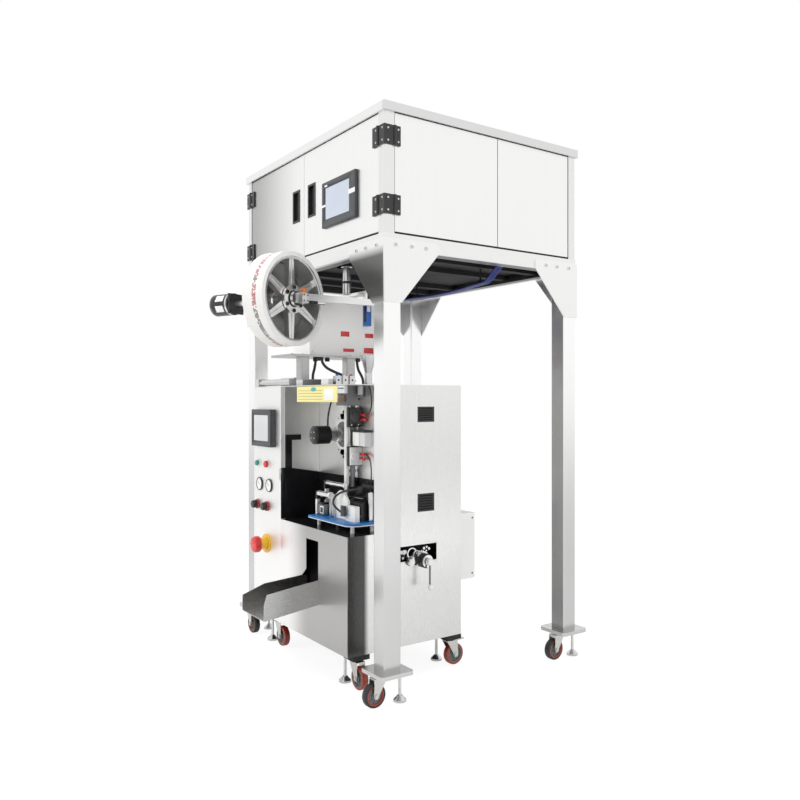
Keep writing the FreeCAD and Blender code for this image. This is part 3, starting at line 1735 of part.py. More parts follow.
def box_stand():
    """Shelf under the control box, on two posts over a raised plate."""
    left = box_right - of.box_depth - of.shelf_side
    right = box_right + of.shelf_side
    front = box_front - of.shelf_front
    back = box_front + of.box_width + of.side_box_width
    shelf_ends = (shelf_low, shelf_low + of.shelf_thickness)
    shelf = box("shelf", (left, right), (front, back), shelf_ends)
    low = cabinet_top + of.stand_plate_level
    high = low + of.stand_plate_thickness
    half = of.stand_post / 2
    post_x = box_right - half
    post_ys = [box_front - half, box_front - half + of.stand_post_pitch]
    margin = of.stand_plate_margin
    plate_x = (post_x - half - margin, post_x + half + margin)
    pieces = [shelf]
    for index, y in enumerate(post_ys):
        outline = rectangle((post_x - half, post_x + half), (y - half, y + half))
        post = slab(f"stand_post_{index}", "XY_Plane", [outline], (high, shelf_low))
        pieces.append(soften(post, of.stand_post_round, upright))
        ends = (y - of.stand_foot / 2, y + of.stand_foot / 2)
        pieces.append(box(f"stand_foot_{index}", plate_x, ends, (cabinet_top, low)))
    plate_y = (post_ys[0] - half, post_ys[1] + half)
    pieces.append(box("stand_plate", plate_x, plate_y, (low, high)))
    node(fuse("stand", pieces), "box_stand")


def weigher_outlet():
    """Outlet pipe below the deck, with its flange and black collar."""
    spot = (tube_x, tube_y)
    flange_low = deck_bottom - of.rib_height
    collar_low = flange_low - of.outlet_collar_height
    low = collar_low - of.outlet_length
    flange = rod("outlet_flange", "Z", spot, of.outlet_flange_radius, (flange_low, deck_bottom))
    collar = rod("outlet_collar", "Z", spot, of.outlet_collar_radius, (collar_low, flange_low))
    pipe = rod("outlet_pipe", "Z", spot, of.outlet_radius, (low, collar_low))
    ends = (low - of.outlet_wall, deck_bottom + of.outlet_wall)
    bore = rod("outlet_bore", "Z", spot, of.outlet_radius - of.outlet_wall, ends)
    node(cut("outlet", fuse("outlet_solid", [flange, collar, pipe]), [bore]), "weigher_outlet")


def feed_funnel():
    """Funnel over the forming tube's head, on a base with small valves beside it."""
    spot = (tube_x, cabinet_front + of.funnel_front_gap)
    low = cabinet_top + of.funnel_base
    high = low + of.funnel_height
    outside = taper("funnel_outside", spot, (of.funnel_bottom_radius, of.funnel_top_radius), (low, high))
    wall = of.funnel_wall
    radii = (of.funnel_bottom_radius - wall, of.funnel_top_radius - wall)
    inside = taper("funnel_inside", spot, radii, (low, high))
    cone = cut("funnel_cone", outside, [inside])
    neck = rod("funnel_neck", "Z", spot, of.funnel_bottom_radius + wall, (cabinet_top, low))
    valves = []
    for index in range(int(of.valve_count.number)):
        x = tube_x - of.valve_width / 2
        y = tube_y + of.valve_pitch * (index - 1) - of.valve_width
        valves.append(box(
            f"valve_{index}",
            (x, x + of.valve_width),
            (y, y + of.valve_width),
            (cabinet_top, cabinet_top + of.valve_height),
        ))
    node(group("funnel", [fuse("funnel_body", [cone, neck])] + valves), "feed_funnel")


def air_cylinder():
    """Air cylinder along the cabinet's front edge, with its end blocks and body."""
    left = cabinet_left
    right = box_right - of.stand_post - of.stand_plate_margin - of.air_end_gap
    half = of.air_block / 2
    y = cabinet_front + of.air_front + half
    z = cabinet_top + half
    span_y = (y - half, y + half)
    levels = (cabinet_top, cabinet_top + of.air_block)
    barrel = rod("air_barrel", "X", (y, z), of.air_radius, (left, right))
    body_end = right - of.air_block_length
    pieces = [
        barrel,
        box("air_left_block", (left, left + of.air_block_length), span_y, levels),
        box("air_right_block", (body_end, right), span_y, levels),
        rod("air_body", "X", (y, z), half, (body_end - of.air_body_length, body_end)),
    ]
    node(fuse("air", pieces), "air_cylinder")


def leveling_feet():
    """Levelling foot beside each caster: a domed pad, a stem and a nut."""
    feet = []
    spots = swivel_spots()
    for name, (x, y) in spots.items():
        if name.startswith("frame"):
            spot = (x, y + of.leg_caster_offset + of.leg_foot_offset)
            top = of.caster_height
        else:
            spot = (x - of.cabinet_foot_offset, y)
            top = cabinet_bottom
        neck = of.foot_neck_height
        profile = [
            (0, 0),
            (of.foot_radius, 0),
            (of.foot_radius, of.foot_rim),
            (of.foot_neck_radius, neck),
            (of.foot_stem_radius, neck),
            (of.foot_stem_radius, top - of.foot_nut_height),
            (of.foot_nut_radius, top - of.foot_nut_height),
            (of.foot_nut_radius, top),
            (0, top),
        ]
        feet.append(place(turned(f"{name}_foot", profile), (spot[0], spot[1], 0)))
    node(group("feet", feet), "leveling_feet")


def turned_point(spot, heading, along):
    """Point at a distance ahead of a spot, for a heading in quarter turns."""
    ahead = {0: (1, 0), 90: (0, 1), 180: (-1, 0), 270: (0, -1)}[heading]
    return (spot[0] + ahead[0] * along, spot[1] + ahead[1] * along)


def caster(name, spot, heading):
    """Swivel fork and wheel: the wheel trails behind the heading."""
    inner = of.wheel_width / 2 + of.fork_side_gap
    outer = inner + of.fork_sheet
    back = -of.wheel_trail - of.axle_head_radius
    front = of.fork_length + back
    bore = (0, 0, of.kingpin_radius + of.pin_clearance)
    crown_outline = rectangle((back, front), (-outer, outer))
    crown = slab(f"{name}_crown", "XY_Plane", [crown_outline, bore], (fork_bottom, fork_top))
    nose = of.axle_head_radius + of.fork_sheet
    cheek = [
        (front, fork_top),
        (back, fork_top),
        (-of.wheel_trail - nose, axle_level + nose),
        (-of.wheel_trail - nose, axle_level),
        (-of.wheel_trail - nose / 2, axle_level - nose),
        (-of.wheel_trail + nose / 2, axle_level - nose),
        (-of.wheel_trail + nose, axle_level),
    ]
    left = slab(f"{name}_left_cheek", "XZ_Plane", [cheek], (inner, outer))
    right = slab(f"{name}_right_cheek", "XZ_Plane", [cheek], (-outer, -inner))
    head = outer + of.axle_head_length
    axle_spot = (-of.wheel_trail, axle_level)
    axle = rod(f"{name}_axle", "Y", axle_spot, of.axle_radius, (-head, head))
    pieces = [crown, left, right, axle]
    for side, ends in (("left", (outer, head)), ("right", (-head, -outer))):
        pieces.append(rod(f"{name}_{side}_bolt", "Y", axle_spot, of.axle_head_radius, ends))
    if name == "cabinet_rear_right":
        pieces.append(box(
            f"{name}_pedal",
            (-of.pedal_reach + of.pedal_lap, back),
            (-of.pedal_width / 2, of.pedal_width / 2),
            (fork_bottom - of.fork_sheet, fork_top),
        ))
        pieces.append(box(
            f"{name}_pedal_root",
            (back - of.pedal_lap, back + of.fork_sheet),
            (-of.pedal_width / 2, of.pedal_width / 2),
            (fork_bottom, fork_top),
        ))
    turn = Rotation(Vector(0, 0, 1), heading)
    node(place(fuse(f"{name}_fork_solid", pieces), (spot[0], spot[1], 0), turn), f"fork_{name}")
    half = of.wheel_width / 2
    tread = of.tread_width / 2
    tread_root = of.wheel_radius - of.tread_depth
    bore_radius = of.axle_radius + of.pin_clearance
    web = half / 2
    profile = [
        (bore_radius, -half),
        (of.hub_radius, -half),
        (of.hub_radius, -web),
        (tread_root - of.fork_sheet, -web),
        (tread_root, -tread),
        (of.wheel_radius - of.fork_sheet, -tread),
        (of.wheel_radius, -tread + of.fork_sheet),
        (of.wheel_radius, tread - of.fork_sheet),
        (of.wheel_radius - of.fork_sheet, tread),
        (tread_root, tread),
        (tread_root - of.fork_sheet, web),
        (of.hub_radius, web),
        (of.hub_radius, half),
        (bore_radius, half),
    ]
    wheel = turned(f"{name}_wheel_turned", profile)
    centre = turned_point(spot, heading, -of.wheel_trail)
    place(wheel, (centre[0], centre[1], axle_level), turn * ALONG["Y"])
    node(wheel, f"wheel_{name}")


def hose(name, points, radius):
    """Tube along straight runs joined by tangent arcs as large as the runs allow."""
    points = [Vector(*point) for point in points]
    edges = []
    start = points[0]
    for before, corner, after in zip(points, points[1:], points[2:]):
        back = (before - corner)
        ahead = (after - corner)
        shorter = min(back.Length, ahead.Length)
        trim = 0.45 * shorter
        back.normalize()
        ahead.normalize()
        half_turn = (math.pi - back.getAngle(ahead)) / 2
        arc_radius = trim / math.tan(half_turn)
        enter = corner + back * trim
        leave = corner + ahead * trim
        inward = (back + ahead).normalize()
        middle = corner + inward * (arc_radius / math.cos(half_turn) - arc_radius)
        edges.append(Part.LineSegment(start, enter).toShape())
        edges.append(Part.Arc(enter, middle, leave).toShape())
        start = leave
    edges.append(Part.LineSegment(start, points[-1]).toShape())
    path = Part.Wire(edges)
    circle = Part.Circle(points[0], points[1] - points[0], radius)
    profile = Part.Wire([circle.toShape()])
    solid = path.makePipeShell([profile], True, False)
    whole = math.pi * radius ** 2 * path.Length
    if abs(solid.Volume / whole - 1) > 0.02:
        raise ValueError(f"hose {name} has a wrong volume")
    feature = doc.addObject("Part::Feature", name)
    feature.Shape = solid
    return feature


# Route of the air lines between the side beams: x, y and the lift above the clips
AIR_LINE = [
    (-525, 244, 61),
    (-485, 241, 49),
    (-430, 234, 29),
    (-350, 226, 11),
    (-260, 215, 2),
    (-168, 207, 0),
    (-32, 196, -7),
    (108, 178, -10),
    (250, 167, -7),
    (318, 159, -2),
    (385, 152, 0),
    (431, 148, 1),
    (475, 142, 22),
    (505, 139, 45),
    (530, 137, 59),
]

# Routes of the black cables: steps right, back and down from where each leaves the shelf
CABLES = {
    "cable_left": [(-58, 60, 0), (-58, 60, 24), (-53, 52, 51), (-45, 40, 75), (-45, 40, 97)],
    "cable_middle": [
        (-8, 66, 0),
        (-8, 66, 22),
        (4, 80, 46),
        (30, 110, 66),
        (57, 143, 82),
        (74, 164, 101),
        (74, 164, 125),
    ],
    "cable_right": [
        (-14, 250, 0),
        (-14, 250, 26),
        (-5, 252, 55),
        (12, 257, 77),
        (22, 260, 99),
        (22, 260, 125),
    ],
}
HORN_CABLE = [(0, 0, 0), (0, 0, 34), (8, 4, 76), (18, 10, 112), (22, 14, 142), (22, 14, 171)]


def hoses():
    """Hoses and cables held at both ends, which rise from the cabinet and cross the deck."""
    right = box_right.number
    front = box_front.number
    under = shelf_low.number
    black = []
    for name, route in CABLES.items():
        points = [(right + x, front + y, under - fall) for x, y, fall in route]
        black.append(hose(name, points, of.hose_radius.number))
    horn_y = recess_back - of.horn_disc_length - of.horn_ring_length - of.horn_neck_length
    horn_y = (horn_y - of.horn_fin_length / 2).number
    horn_z = (counter_top + of.horn_level + of.horn_body_radius).number
    points = [(horn_x.number + x, horn_y + y, horn_z + z) for x, y, z in HORN_CABLE]
    black.append(hose("horn_cable", points, of.thin_hose_radius.number))
    air = of.air_hose_radius.number
    level = (hanger_low - of.air_hose_radius - of.hose_clearance).number
    beam = (half_x - of.beam_width).number
    blue = []
    for index in (-1, 0, 1):
        side = index * of.air_hose_pitch.number
        path = [(-beam, AIR_LINE[0][1] + side, level + AIR_LINE[0][2])]
        path += [(x, y + side, level + lift) for x, y, lift in AIR_LINE]
        path.append((beam, AIR_LINE[-1][1] + side, level + AIR_LINE[-1][2]))
        blue.append(hose(f"air_line_{index + 1}", path, air))
    node(group("all_hoses", black + blue), "hoses")


def check_objects():
    """Stop when any object failed, or a sub-part has no sound solid."""
    for thing in doc.Objects:
        if "Invalid" in thing.State or "Error" in thing.State:
            raise ValueError(f"{thing.Label} failed: {thing.State}")
    for thing in NODES:
        shape = thing.Shape
        if shape.isNull() or not shape.isValid() or not shape.Solids:
            raise ValueError(f"{thing.Label} has no valid solid")


def main():
    frame_legs()
    corner_gussets()
    platform()
    housing()
    front_doors()
    side_panels()
    node(group("furniture", door_hinges() + door_handles()), "door_furniture")
    touch_screens()
    cabinet_base()
    cabinet_sheets()
    side_vents()
    front_panels()
    black_counter()
    panel_controls()
    stop_button()
    discharge_tray()
    bag_plate()
    pull_rollers()
    film_shoe()
    sealing_jaws()
    head_block()
    forming_tube()
    tube_grippers()
    ultrasonic_head()
    gear_adjuster()
    crank_handle()
    electrical_box()
    reel()
    reel_arm()
    brake_motor()
    control_box()
    box_stand()
    weigher_outlet()
    feed_funnel()
    air_cylinder()
    leveling_feet()
    for name, spot in swivel_spots().items():
        caster(name, spot, TRAILS[name])
    hoses()
    doc.recompute()
    check_objects()
    os.makedirs("parts", exist_ok=True)
    for thing in NODES:
        thing.Shape.exportStep(f"parts/{thing.Label}.step")


main()
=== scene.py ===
"""Finishes and fine parts of a tea bag packing machine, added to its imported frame."""

from __future__ import annotations

import json
import logging
import math
from dataclasses import dataclass
from enum import Enum
from itertools import product

import bpy
from mathutils import Matrix, Vector

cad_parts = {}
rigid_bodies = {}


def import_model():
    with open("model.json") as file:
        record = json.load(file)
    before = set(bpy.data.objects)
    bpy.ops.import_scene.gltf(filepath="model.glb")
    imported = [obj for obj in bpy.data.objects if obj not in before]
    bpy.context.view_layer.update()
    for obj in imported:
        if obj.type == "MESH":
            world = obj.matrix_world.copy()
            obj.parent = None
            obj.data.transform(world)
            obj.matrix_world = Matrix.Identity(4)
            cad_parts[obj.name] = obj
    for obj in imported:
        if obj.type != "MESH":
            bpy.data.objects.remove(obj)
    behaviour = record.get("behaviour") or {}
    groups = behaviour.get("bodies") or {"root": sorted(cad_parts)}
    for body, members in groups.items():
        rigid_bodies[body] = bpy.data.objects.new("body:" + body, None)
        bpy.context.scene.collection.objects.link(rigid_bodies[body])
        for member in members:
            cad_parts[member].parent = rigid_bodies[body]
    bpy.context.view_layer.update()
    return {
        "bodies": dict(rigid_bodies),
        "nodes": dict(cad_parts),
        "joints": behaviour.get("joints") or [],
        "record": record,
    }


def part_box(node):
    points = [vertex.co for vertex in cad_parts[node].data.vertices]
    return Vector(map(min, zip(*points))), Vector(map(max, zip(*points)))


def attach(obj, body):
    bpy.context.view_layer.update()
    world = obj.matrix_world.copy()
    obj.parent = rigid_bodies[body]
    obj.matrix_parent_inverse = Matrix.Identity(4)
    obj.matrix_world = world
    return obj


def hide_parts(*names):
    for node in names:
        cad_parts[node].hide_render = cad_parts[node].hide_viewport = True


LOG = logging.getLogger("tea_bag_packer")
Colour = tuple[float, float, float]
Point = tuple[float, float, float]
Profile = list[tuple[float, float]]
Span = tuple[float, float, float, float]
MM = 0.001

# Middle of the reel in millimetres, and how far its axis is turned from X in degrees
REEL_HUB = (202.5, -670.0, 1552.0)
REEL_TURN = 22.5


class Axis(Enum):
    """Row axis that a turned part lies along, as the turn that brings +Z onto it."""

    X = (0.0, math.pi / 2, 0.0)
    Y = (-math.pi / 2, 0.0, 0.0)
    Z = (0.0, 0.0, 0.0)


class Value:
    """A shader socket whose operators add Math nodes."""

    def __init__(self, graph: Nodes, socket: bpy.types.NodeSocket) -> None:
        """Wrap one output socket of a graph."""
        self.graph = graph
        self.socket = socket

    def _with(self, operation: str, first: Value | float, second: Value | float) -> Value:
        """Add a Math node for two values."""
        return self.graph.node("ShaderNodeMath", {"operation": operation}, {0: first, 1: second})

    def __add__(self, other: Value | float) -> Value:
        """Sum."""
        return self._with("ADD", self, other)

    def __radd__(self, other: float) -> Value:
        """Sum with a number first."""
        return self._with("ADD", other, self)

    def __sub__(self, other: Value | float) -> Value:
        """Difference."""
        return self._with("SUBTRACT", self, other)

    def __rsub__(self, other: float) -> Value:
        """Difference from a number."""
        return self._with("SUBTRACT", other, self)

    def __mul__(self, other: Value | float) -> Value:
        """Product."""
        return self._with("MULTIPLY", self, other)

    def __rmul__(self, other: float) -> Value:
        """Product with a number first."""
        return self._with("MULTIPLY", other, self)

    def __gt__(self, other: Value | float) -> Value:
        """Mask that is one where this is larger."""
        return self._with("GREATER_THAN", self, other)

    def __lt__(self, other: Value | float) -> Value:
        """Mask that is one where this is smaller."""
        return self._with("LESS_THAN", self, other)

    def floor(self) -> Value:
        """Whole part."""
        return self.graph.node("ShaderNodeMath", {"operation": "FLOOR"}, {0: self})

    def fraction(self) -> Value:
        """Part after the point."""
        return self.graph.node("ShaderNodeMath", {"operation": "FRACT"}, {0: self})


class Nodes:
    """Node tree that one method adds nodes to."""

    def __init__(self, tree: bpy.types.NodeTree) -> None:
        """Wrap a tree."""
        self.tree = tree

    def node(
        self,
        kind: str,
        settings: dict[str, object] | None = None,
        inputs: dict[int | str, object] | None = None,
        output: int | str = 0,
    ) -> Value:
        """Add one node.

        Args:
            kind: The node's type.
            settings: Attributes that are set first, and "stops" for a colour ramp.
            inputs: Value, colour or link for each socket.
            output: The socket that is handed back.

        Returns:
            The chosen output.
        """
        made = self.tree.nodes.new(kind)
        for key, value in (settings or {}).items():
            if key == "stops":
                self._set_stops(made.color_ramp, value)
            else:
                setattr(made, key, value)
        for key, value in (inputs or {}).items():
            self.feed(made.inputs[key], value)
        return Value(self, made.outputs[output])

    @staticmethod
    def _set_stops(ramp: bpy.types.ColorRamp, stops: list[tuple[float, Colour]]) -> None:
        """Set a ramp's stops.

        Args:
            ramp: The colour ramp.
            stops: Place and colour of each stop.
        """
        while len(ramp.elements) < len(stops):
            ramp.elements.new(1.0)
        for element, (place, colour) in zip(ramp.elements, stops):
            element.position = place
            element.color = (*colour, 1.0)

    def feed(self, socket: bpy.types.NodeSocket, value: object) -> None:
        """Link a value to a socket, or set the socket.

        Args:
            socket: The input socket.
            value: A linked value, or a number or colour that is set.
        """
        if isinstance(value, Value):
            self.tree.links.new(value.socket, socket)
        elif isinstance(value, tuple) and socket.type == "RGBA":
            socket.default_value = (*value, 1.0)
        else:
            socket.default_value = value

    def place(self) -> Value:
        """Object coordinates."""
        return self.node("ShaderNodeTexCoord", output="Object")

    def stretched(self, place: Value, scale: Point) -> Value:
        """Coordinates scaled along each axis."""
        return self.node("ShaderNodeMapping", inputs={"Vector": place, "Scale": scale})

    def noise(self, place: Value, scale: float, detail: float = 2.0, rough: float = 0.5) -> Value:
        """Cloudy pattern from zero to one."""
        sizes = {"Vector": place, "Scale": scale, "Detail": detail, "Roughness": rough}
        return self.node("ShaderNodeTexNoise", inputs=sizes)

    def mix(self, mask: Value, first: Value | Colour, second: Value | Colour) -> Value:
        """Colour that goes from the first to the second with a mask."""
        return self.node("ShaderNodeMix", {"data_type": "RGBA"}, {0: mask, 6: first, 7: second}, 2)

    def bump(self, height: Value, depth: float, strength: float = 0.4) -> Value:
        """Normal from a height pattern of that depth in metres."""
        sizes = {"Strength": strength, "Distance": depth, "Height": height}
        return self.node("ShaderNodeBump", inputs=sizes)

    def parts(self, place: Value) -> tuple[Value, Value, Value]:
        """X, Y and Z of coordinates.

        Args:
            place: The coordinates.

        Returns:
            The three parts.
        """
        split = self.tree.nodes.new("ShaderNodeSeparateXYZ")
        self.feed(split.inputs[0], place)
        return tuple(Value(self, output) for output in split.outputs)


class Graph(Nodes):
    """Node tree of one material, around one Principled shader."""

    def __init__(self, name: str) -> None:
        """Start a material of that name.

        Args:
            name: The material's name.
        """
        self.material = bpy.data.materials.new(name)
        self.material.use_nodes = True
        super().__init__(self.material.node_tree)
        self.shader = self.tree.nodes["Principled BSDF"]

    def set(self, **sockets: object) -> None:
        """Set or link the shader's sockets, by names with underscores for spaces."""
        for name, value in sockets.items():
            self.feed(self.shader.inputs[name.replace("_", " ").title().replace("Ior", "IOR")], value)


def mm(*sizes: float) -> Point:
    """Lengths in millimetres as metres."""
    return tuple(size * MM for size in sizes)


def circle(centre: Point, axis: Axis, radius: float, count: int, start: float = 0.0) -> list[Point]:
    """Points evenly round an axis.

    Args:
        centre: Middle of the circle.
        axis: Row axis that it goes round.
        radius: Radius of the circle.
        count: Number of points.
        start: Angle of the first point in degrees.

    Returns:
        The points.
    """
    points = []
    for index in range(count):
        angle = math.radians(start + 360.0 * index / count)
        away = [radius * math.cos(angle), radius * math.sin(angle)]
        away.insert("XYZ".index(axis.name), 0.0)
        points.append(tuple(middle + part for middle, part in zip(centre, away)))
    return points


def turned(
    at: Point, axis: Axis, count: int, start: float = 0.0, step: float | None = None
) -> list[Matrix]:
    """Places of copies that are turned about an axis, for a pattern modelled at the origin.

    Args:
        at: Point in millimetres that the origin goes to.
        axis: Row axis that the copies turn about.
        count: Number of copies.
        start: Turn of the first copy in degrees.
        step: Degrees between copies, or none for an even round.

    Returns:
        One matrix for each copy.
    """
    gap = 360.0 / count if step is None else step
    move = Matrix.Translation(mm(*at))
    return [move @ Matrix.Rotation(math.radians(start + gap * index), 4, axis.name) for index in range(count)]


def tinted(colour: Colour, share: float) -> Colour:
    """Colour scaled towards black or white by a share."""
    return tuple(min(1.0, max(0.0, part * (1.0 + share))) for part in colour)


@dataclass(frozen=True)
class PaintedLightRamp:
    """Painted shade and light: smooth change along an axis, to the share of the tone that is left at its
    stop.
    """

    axis: Axis
    start: float
    stop: float
    left: float

    def over(self, graph: Graph, colour: Value, tone: Colour) -> Value:
        """Lay the painted light and shade ramp over a colour.

        Args:
            graph: The material's graph.
            colour: The colour so far.
            tone: The finish's tone.

        Returns:
            The colour with the painted light and shade.
        """
        along = graph.parts(graph.place())["XYZ".index(self.axis.name)]
        ends = {"Value": along, "From Min": self.start, "From Max": self.stop}
        reach = graph.node("ShaderNodeMapRange", {"interpolation_type": "SMOOTHSTEP"}, ends)
        return graph.mix(reach, colour, tinted(tone, self.left - 1.0))


@dataclass(frozen=True)
class PaintedShadeBox:
    """Painted shade: box with soft sides, inside which a share of the tone is left."""

    low: Point
    high: Point
    left: float
    soft: Point = (0.0004, 0.0004, 0.0004)

    def over(self, graph: Graph, colour: Value, tone: Colour) -> Value:
        """Lay the painted shade over a colour.

        Args:
            graph: The material's graph.
            colour: The colour so far.
            tone: The finish's tone.

        Returns:
            The colour with the painted shade.
        """
        inside: Value | float = 1.0
        for along, near, far, soft in zip(graph.parts(graph.place()), self.low, self.high, self.soft):
            for start, step in ((near, soft), (far, -soft)):
                ramp = {"Value": along, "From Min": start, "From Max": start + step}
                inside = graph.node("ShaderNodeMapRange", {}, ramp) * inside
        return graph.mix(inside, colour, tinted(tone, self.left - 1.0))


@dataclass(frozen=True)
class BrushedSteel:
    """Satin stainless sheet with a fine grain along one axis and soft clouds, and painted shade and light
    from an optional ramp and box.
    """

    name: str
    tone: Colour = (0.71, 0.71, 0.70)
    rough: float = 0.30
    grain: Axis = Axis.Z
    cloud: float = 0.10
    light_ramp: PaintedLightRamp | None = None
    shade_box: PaintedShadeBox | None = None
    pull: float = 0.012

    def material(self) -> bpy.types.Material:
        """Build the finish.

        Returns:
            The new material.
        """
        graph = Graph(self.name)
        place = graph.place()
        scale = tuple(self.pull if axis == self.grain else 1.0 for axis in Axis)
        drawn = graph.stretched(place, scale)
        streak = graph.noise(drawn, 900.0, 3.0)
        broad = graph.noise(drawn, 60.0, 1.0)
        cloud = graph.noise(place, 1.7, 1.0)
        marks = graph.noise(place, 14.0, 4.0, 0.6)
        shade = (streak - 0.5) * 0.5 + (broad - 0.5) * 0.3 + (cloud - 0.5) * (self.cloud * 12.0) + 0.5
        colour = graph.mix(shade, tinted(self.tone, -self.cloud), tinted(self.tone, self.cloud))
        # lay the painted light ramp and the painted shade box over the steel's colour
        for layer in (self.light_ramp, self.shade_box):
            if layer:
                colour = layer.over(graph, colour, self.tone)
        graph.set(
            base_color=colour,
            metallic=1.0,
            roughness=(streak - 0.5) * 0.10 + (marks - 0.5) * 0.08 + self.rough,
            normal=graph.bump(streak, 0.00004, 0.35),
        )
        return graph.material


@dataclass(frozen=True)
class PolishedMetal:
    """Turned or plated metal with a mirror sheen and faint smudges."""

    name: str
    tone: Colour = (0.80, 0.80, 0.80)
    rough: float = 0.12

    def material(self) -> bpy.types.Material:
        """Build the finish.

        Returns:
            The new material.
        """
        graph = Graph(self.name)
        place = graph.place()
        smudge = graph.noise(place, 38.0, 3.0, 0.6)
        fine = graph.noise(place, 420.0, 2.0)
        colour = graph.mix(smudge, tinted(self.tone, -0.10), tinted(self.tone, 0.06))
        graph.set(
            base_color=colour,
            metallic=1.0,
            roughness=(smudge - 0.5) * 0.14 + self.rough,
            normal=graph.bump(fine, 0.00003, 0.3),
        )
        return graph.material


@dataclass(frozen=True)
class CastMetal:
    """Sand-cast or die-cast metal with a fine grain."""

    name: str
    tone: Colour = (0.60, 0.60, 0.59)
    rough: float = 0.42

    def material(self) -> bpy.types.Material:
        """Build the finish.

        Returns:
            The new material.
        """
        graph = Graph(self.name)
        place = graph.place()
        grain = graph.noise(place, 520.0, 4.0, 0.65)
        cloud = graph.noise(place, 18.0, 2.0)
        colour = graph.mix(cloud, tinted(self.tone, -0.16), tinted(self.tone, 0.14))
        graph.set(
            base_color=colour,
            metallic=0.9,
            roughness=(grain - 0.5) * 0.2 + self.rough,
            normal=graph.bump(grain, 0.00012, 0.5),
        )
        return graph.material


@dataclass(frozen=True)
class Coating:
    """Paint, plastic or rubber: an even colour with a fine skin, dust and worn lights."""

    name: str
    tone: Colour
    rough: float = 0.4
    skin: float = 300.0
    depth: float = 0.00005
    dust: float = 0.12
    coat: float = 0.0

    def material(self) -> bpy.types.Material:
        """Build the finish.

        Returns:
            The new material.
        """
        graph = Graph(self.name)
        place = graph.place()
        skin = graph.noise(place, self.skin, 3.0)
        dust = graph.noise(place, 11.0, 5.0, 0.62)
        colour = graph.mix(dust, tinted(self.tone, -self.dust), tinted(self.tone, self.dust))
        graph.set(
            base_color=colour,
            roughness=(dust - 0.5) * 0.16 + self.rough,
            coat_weight=self.coat,
            normal=graph.bump(skin, self.depth, 0.4),
        )
        return graph.material


@dataclass(frozen=True)
class GlossyBlack:
    """Black sheet with a deep coat that mirrors what stands on it."""

    name: str
    tone: Colour = (0.008, 0.008, 0.009)
    rough: float = 0.12

    def material(self) -> bpy.types.Material:
        """Build the finish.

        Returns:
            The new material.
        """
        graph = Graph(self.name)
        place = graph.place()
        haze = graph.noise(place, 9.0, 4.0, 0.6)
        graph.set(
            base_color=graph.mix(haze, self.tone, tinted(self.tone, 0.9)),
            roughness=(haze - 0.5) * 0.12 + self.rough,
            specular_ior_level=0.32,
            normal=graph.bump(graph.noise(place, 260.0, 2.0), 0.00002, 0.3),
        )
        return graph.material


@dataclass(frozen=True)
class PrintedFilm:
    """White paper web on the reel, with a running band of plain printed ticks."""

    name: str
    hub: Point
    turn: float
    band: tuple[float, float] = (-0.054, -0.034)
    rows: float = 3.0
    radius: float = 0.19
    pitch: float = 0.0052

    def material(self) -> bpy.types.Material:
        """Build the finish.

        Returns:
            The new material.
        """
        graph = Graph(self.name)
        place = graph.place()
        local = graph.node(
            "ShaderNodeMapping",
            {"vector_type": "TEXTURE"},
            {"Vector": place, "Location": self.hub, "Rotation": (0.0, 0.0, self.turn)},
        )
        along, side, up = graph.parts(local)
        angle = graph.node("ShaderNodeMath", {"operation": "ARCTAN2"}, {0: up, 1: side})
        step = angle * (self.radius / self.pitch)
        cell = step.floor()
        across = (along - self.band[0]) * (self.rows / (self.band[1] - self.band[0]))
        row = across.floor()
        place_in = graph.node("ShaderNodeCombineXYZ", inputs={0: cell, 1: row, 2: 0.0})
        chance = graph.node("ShaderNodeTexWhiteNoise", {"noise_dimensions": "2D"}, {"Vector": place_in})
        inside = (along > self.band[0]) * (along < self.band[1])
        tick = inside * (chance > 0.26) * (step.fraction() > 0.16) * (across.fraction() > 0.06)
        wide = graph.node("ShaderNodeTexNoise", {"noise_dimensions": "1D"}, {"W": angle, "Scale": 1.3})
        inked = tick * (graph.noise(place, 8.0, 2.0) > 0.30)
        ink = graph.mix((angle * 0.8 + wide * 2.2).fraction() > 0.42, (0.10, 0.07, 0.07), (0.36, 0.03, 0.05))
        fibre = graph.noise(graph.stretched(local, (1.0, 0.25, 0.25)), 700.0, 4.0, 0.6)
        paper = graph.mix(fibre, (0.72, 0.71, 0.69), (0.82, 0.81, 0.79))
        rings = (graph.noise(local, 90.0, 1.0) - 0.5) * 0.2
        graph.set(
            base_color=graph.mix(inked * 0.9, paper, ink),
            roughness=rings + 0.62,
            normal=graph.bump(fibre, 0.00006, 0.35),
        )
        return graph.material


@dataclass(frozen=True)
class SplitSkin:
    """Smooth skin with one colour below a level and another above it."""

    name: str
    level: float
    low: Colour
    high: Colour
    dust: float

    def material(self) -> bpy.types.Material:
        """Build the finish.

        Returns:
            The new material.
        """
        graph = Graph(self.name)
        place = graph.place()
        dust = graph.noise(place, 26.0, 3.0, 0.6)
        up = graph.parts(place)[2]
        tone = graph.mix(up > self.level, self.low, self.high)
        graph.set(
            base_color=graph.mix(dust * self.dust, tone, (0.10, 0.10, 0.11)),
            roughness=(dust - 0.5) * 0.2 + 0.34,
            normal=graph.bump(graph.noise(place, 400.0, 2.0), 0.00004, 0.3),
        )
        return graph.material


@dataclass(frozen=True)
class LitScreen:
    """Dark glass touch screen that shows a plain pale page."""

    name: str
    low: Colour = (0.36, 0.40, 0.48)
    high: Colour = (0.50, 0.55, 0.64)
    glow: float = 0.12

    def material(self) -> bpy.types.Material:
        """Build the finish.

        Returns:
            The new material.
        """
        graph = Graph(self.name)
        place = graph.place()
        haze = graph.noise(place, 5.0, 2.0)
        colour = graph.mix(haze, self.low, self.high)
        graph.set(
            base_color=colour,
            roughness=(haze - 0.5) * 0.1 + 0.16,
            coat_weight=1.0,
            emission_color=colour,
            emission_strength=self.glow,
        )
        return graph.material


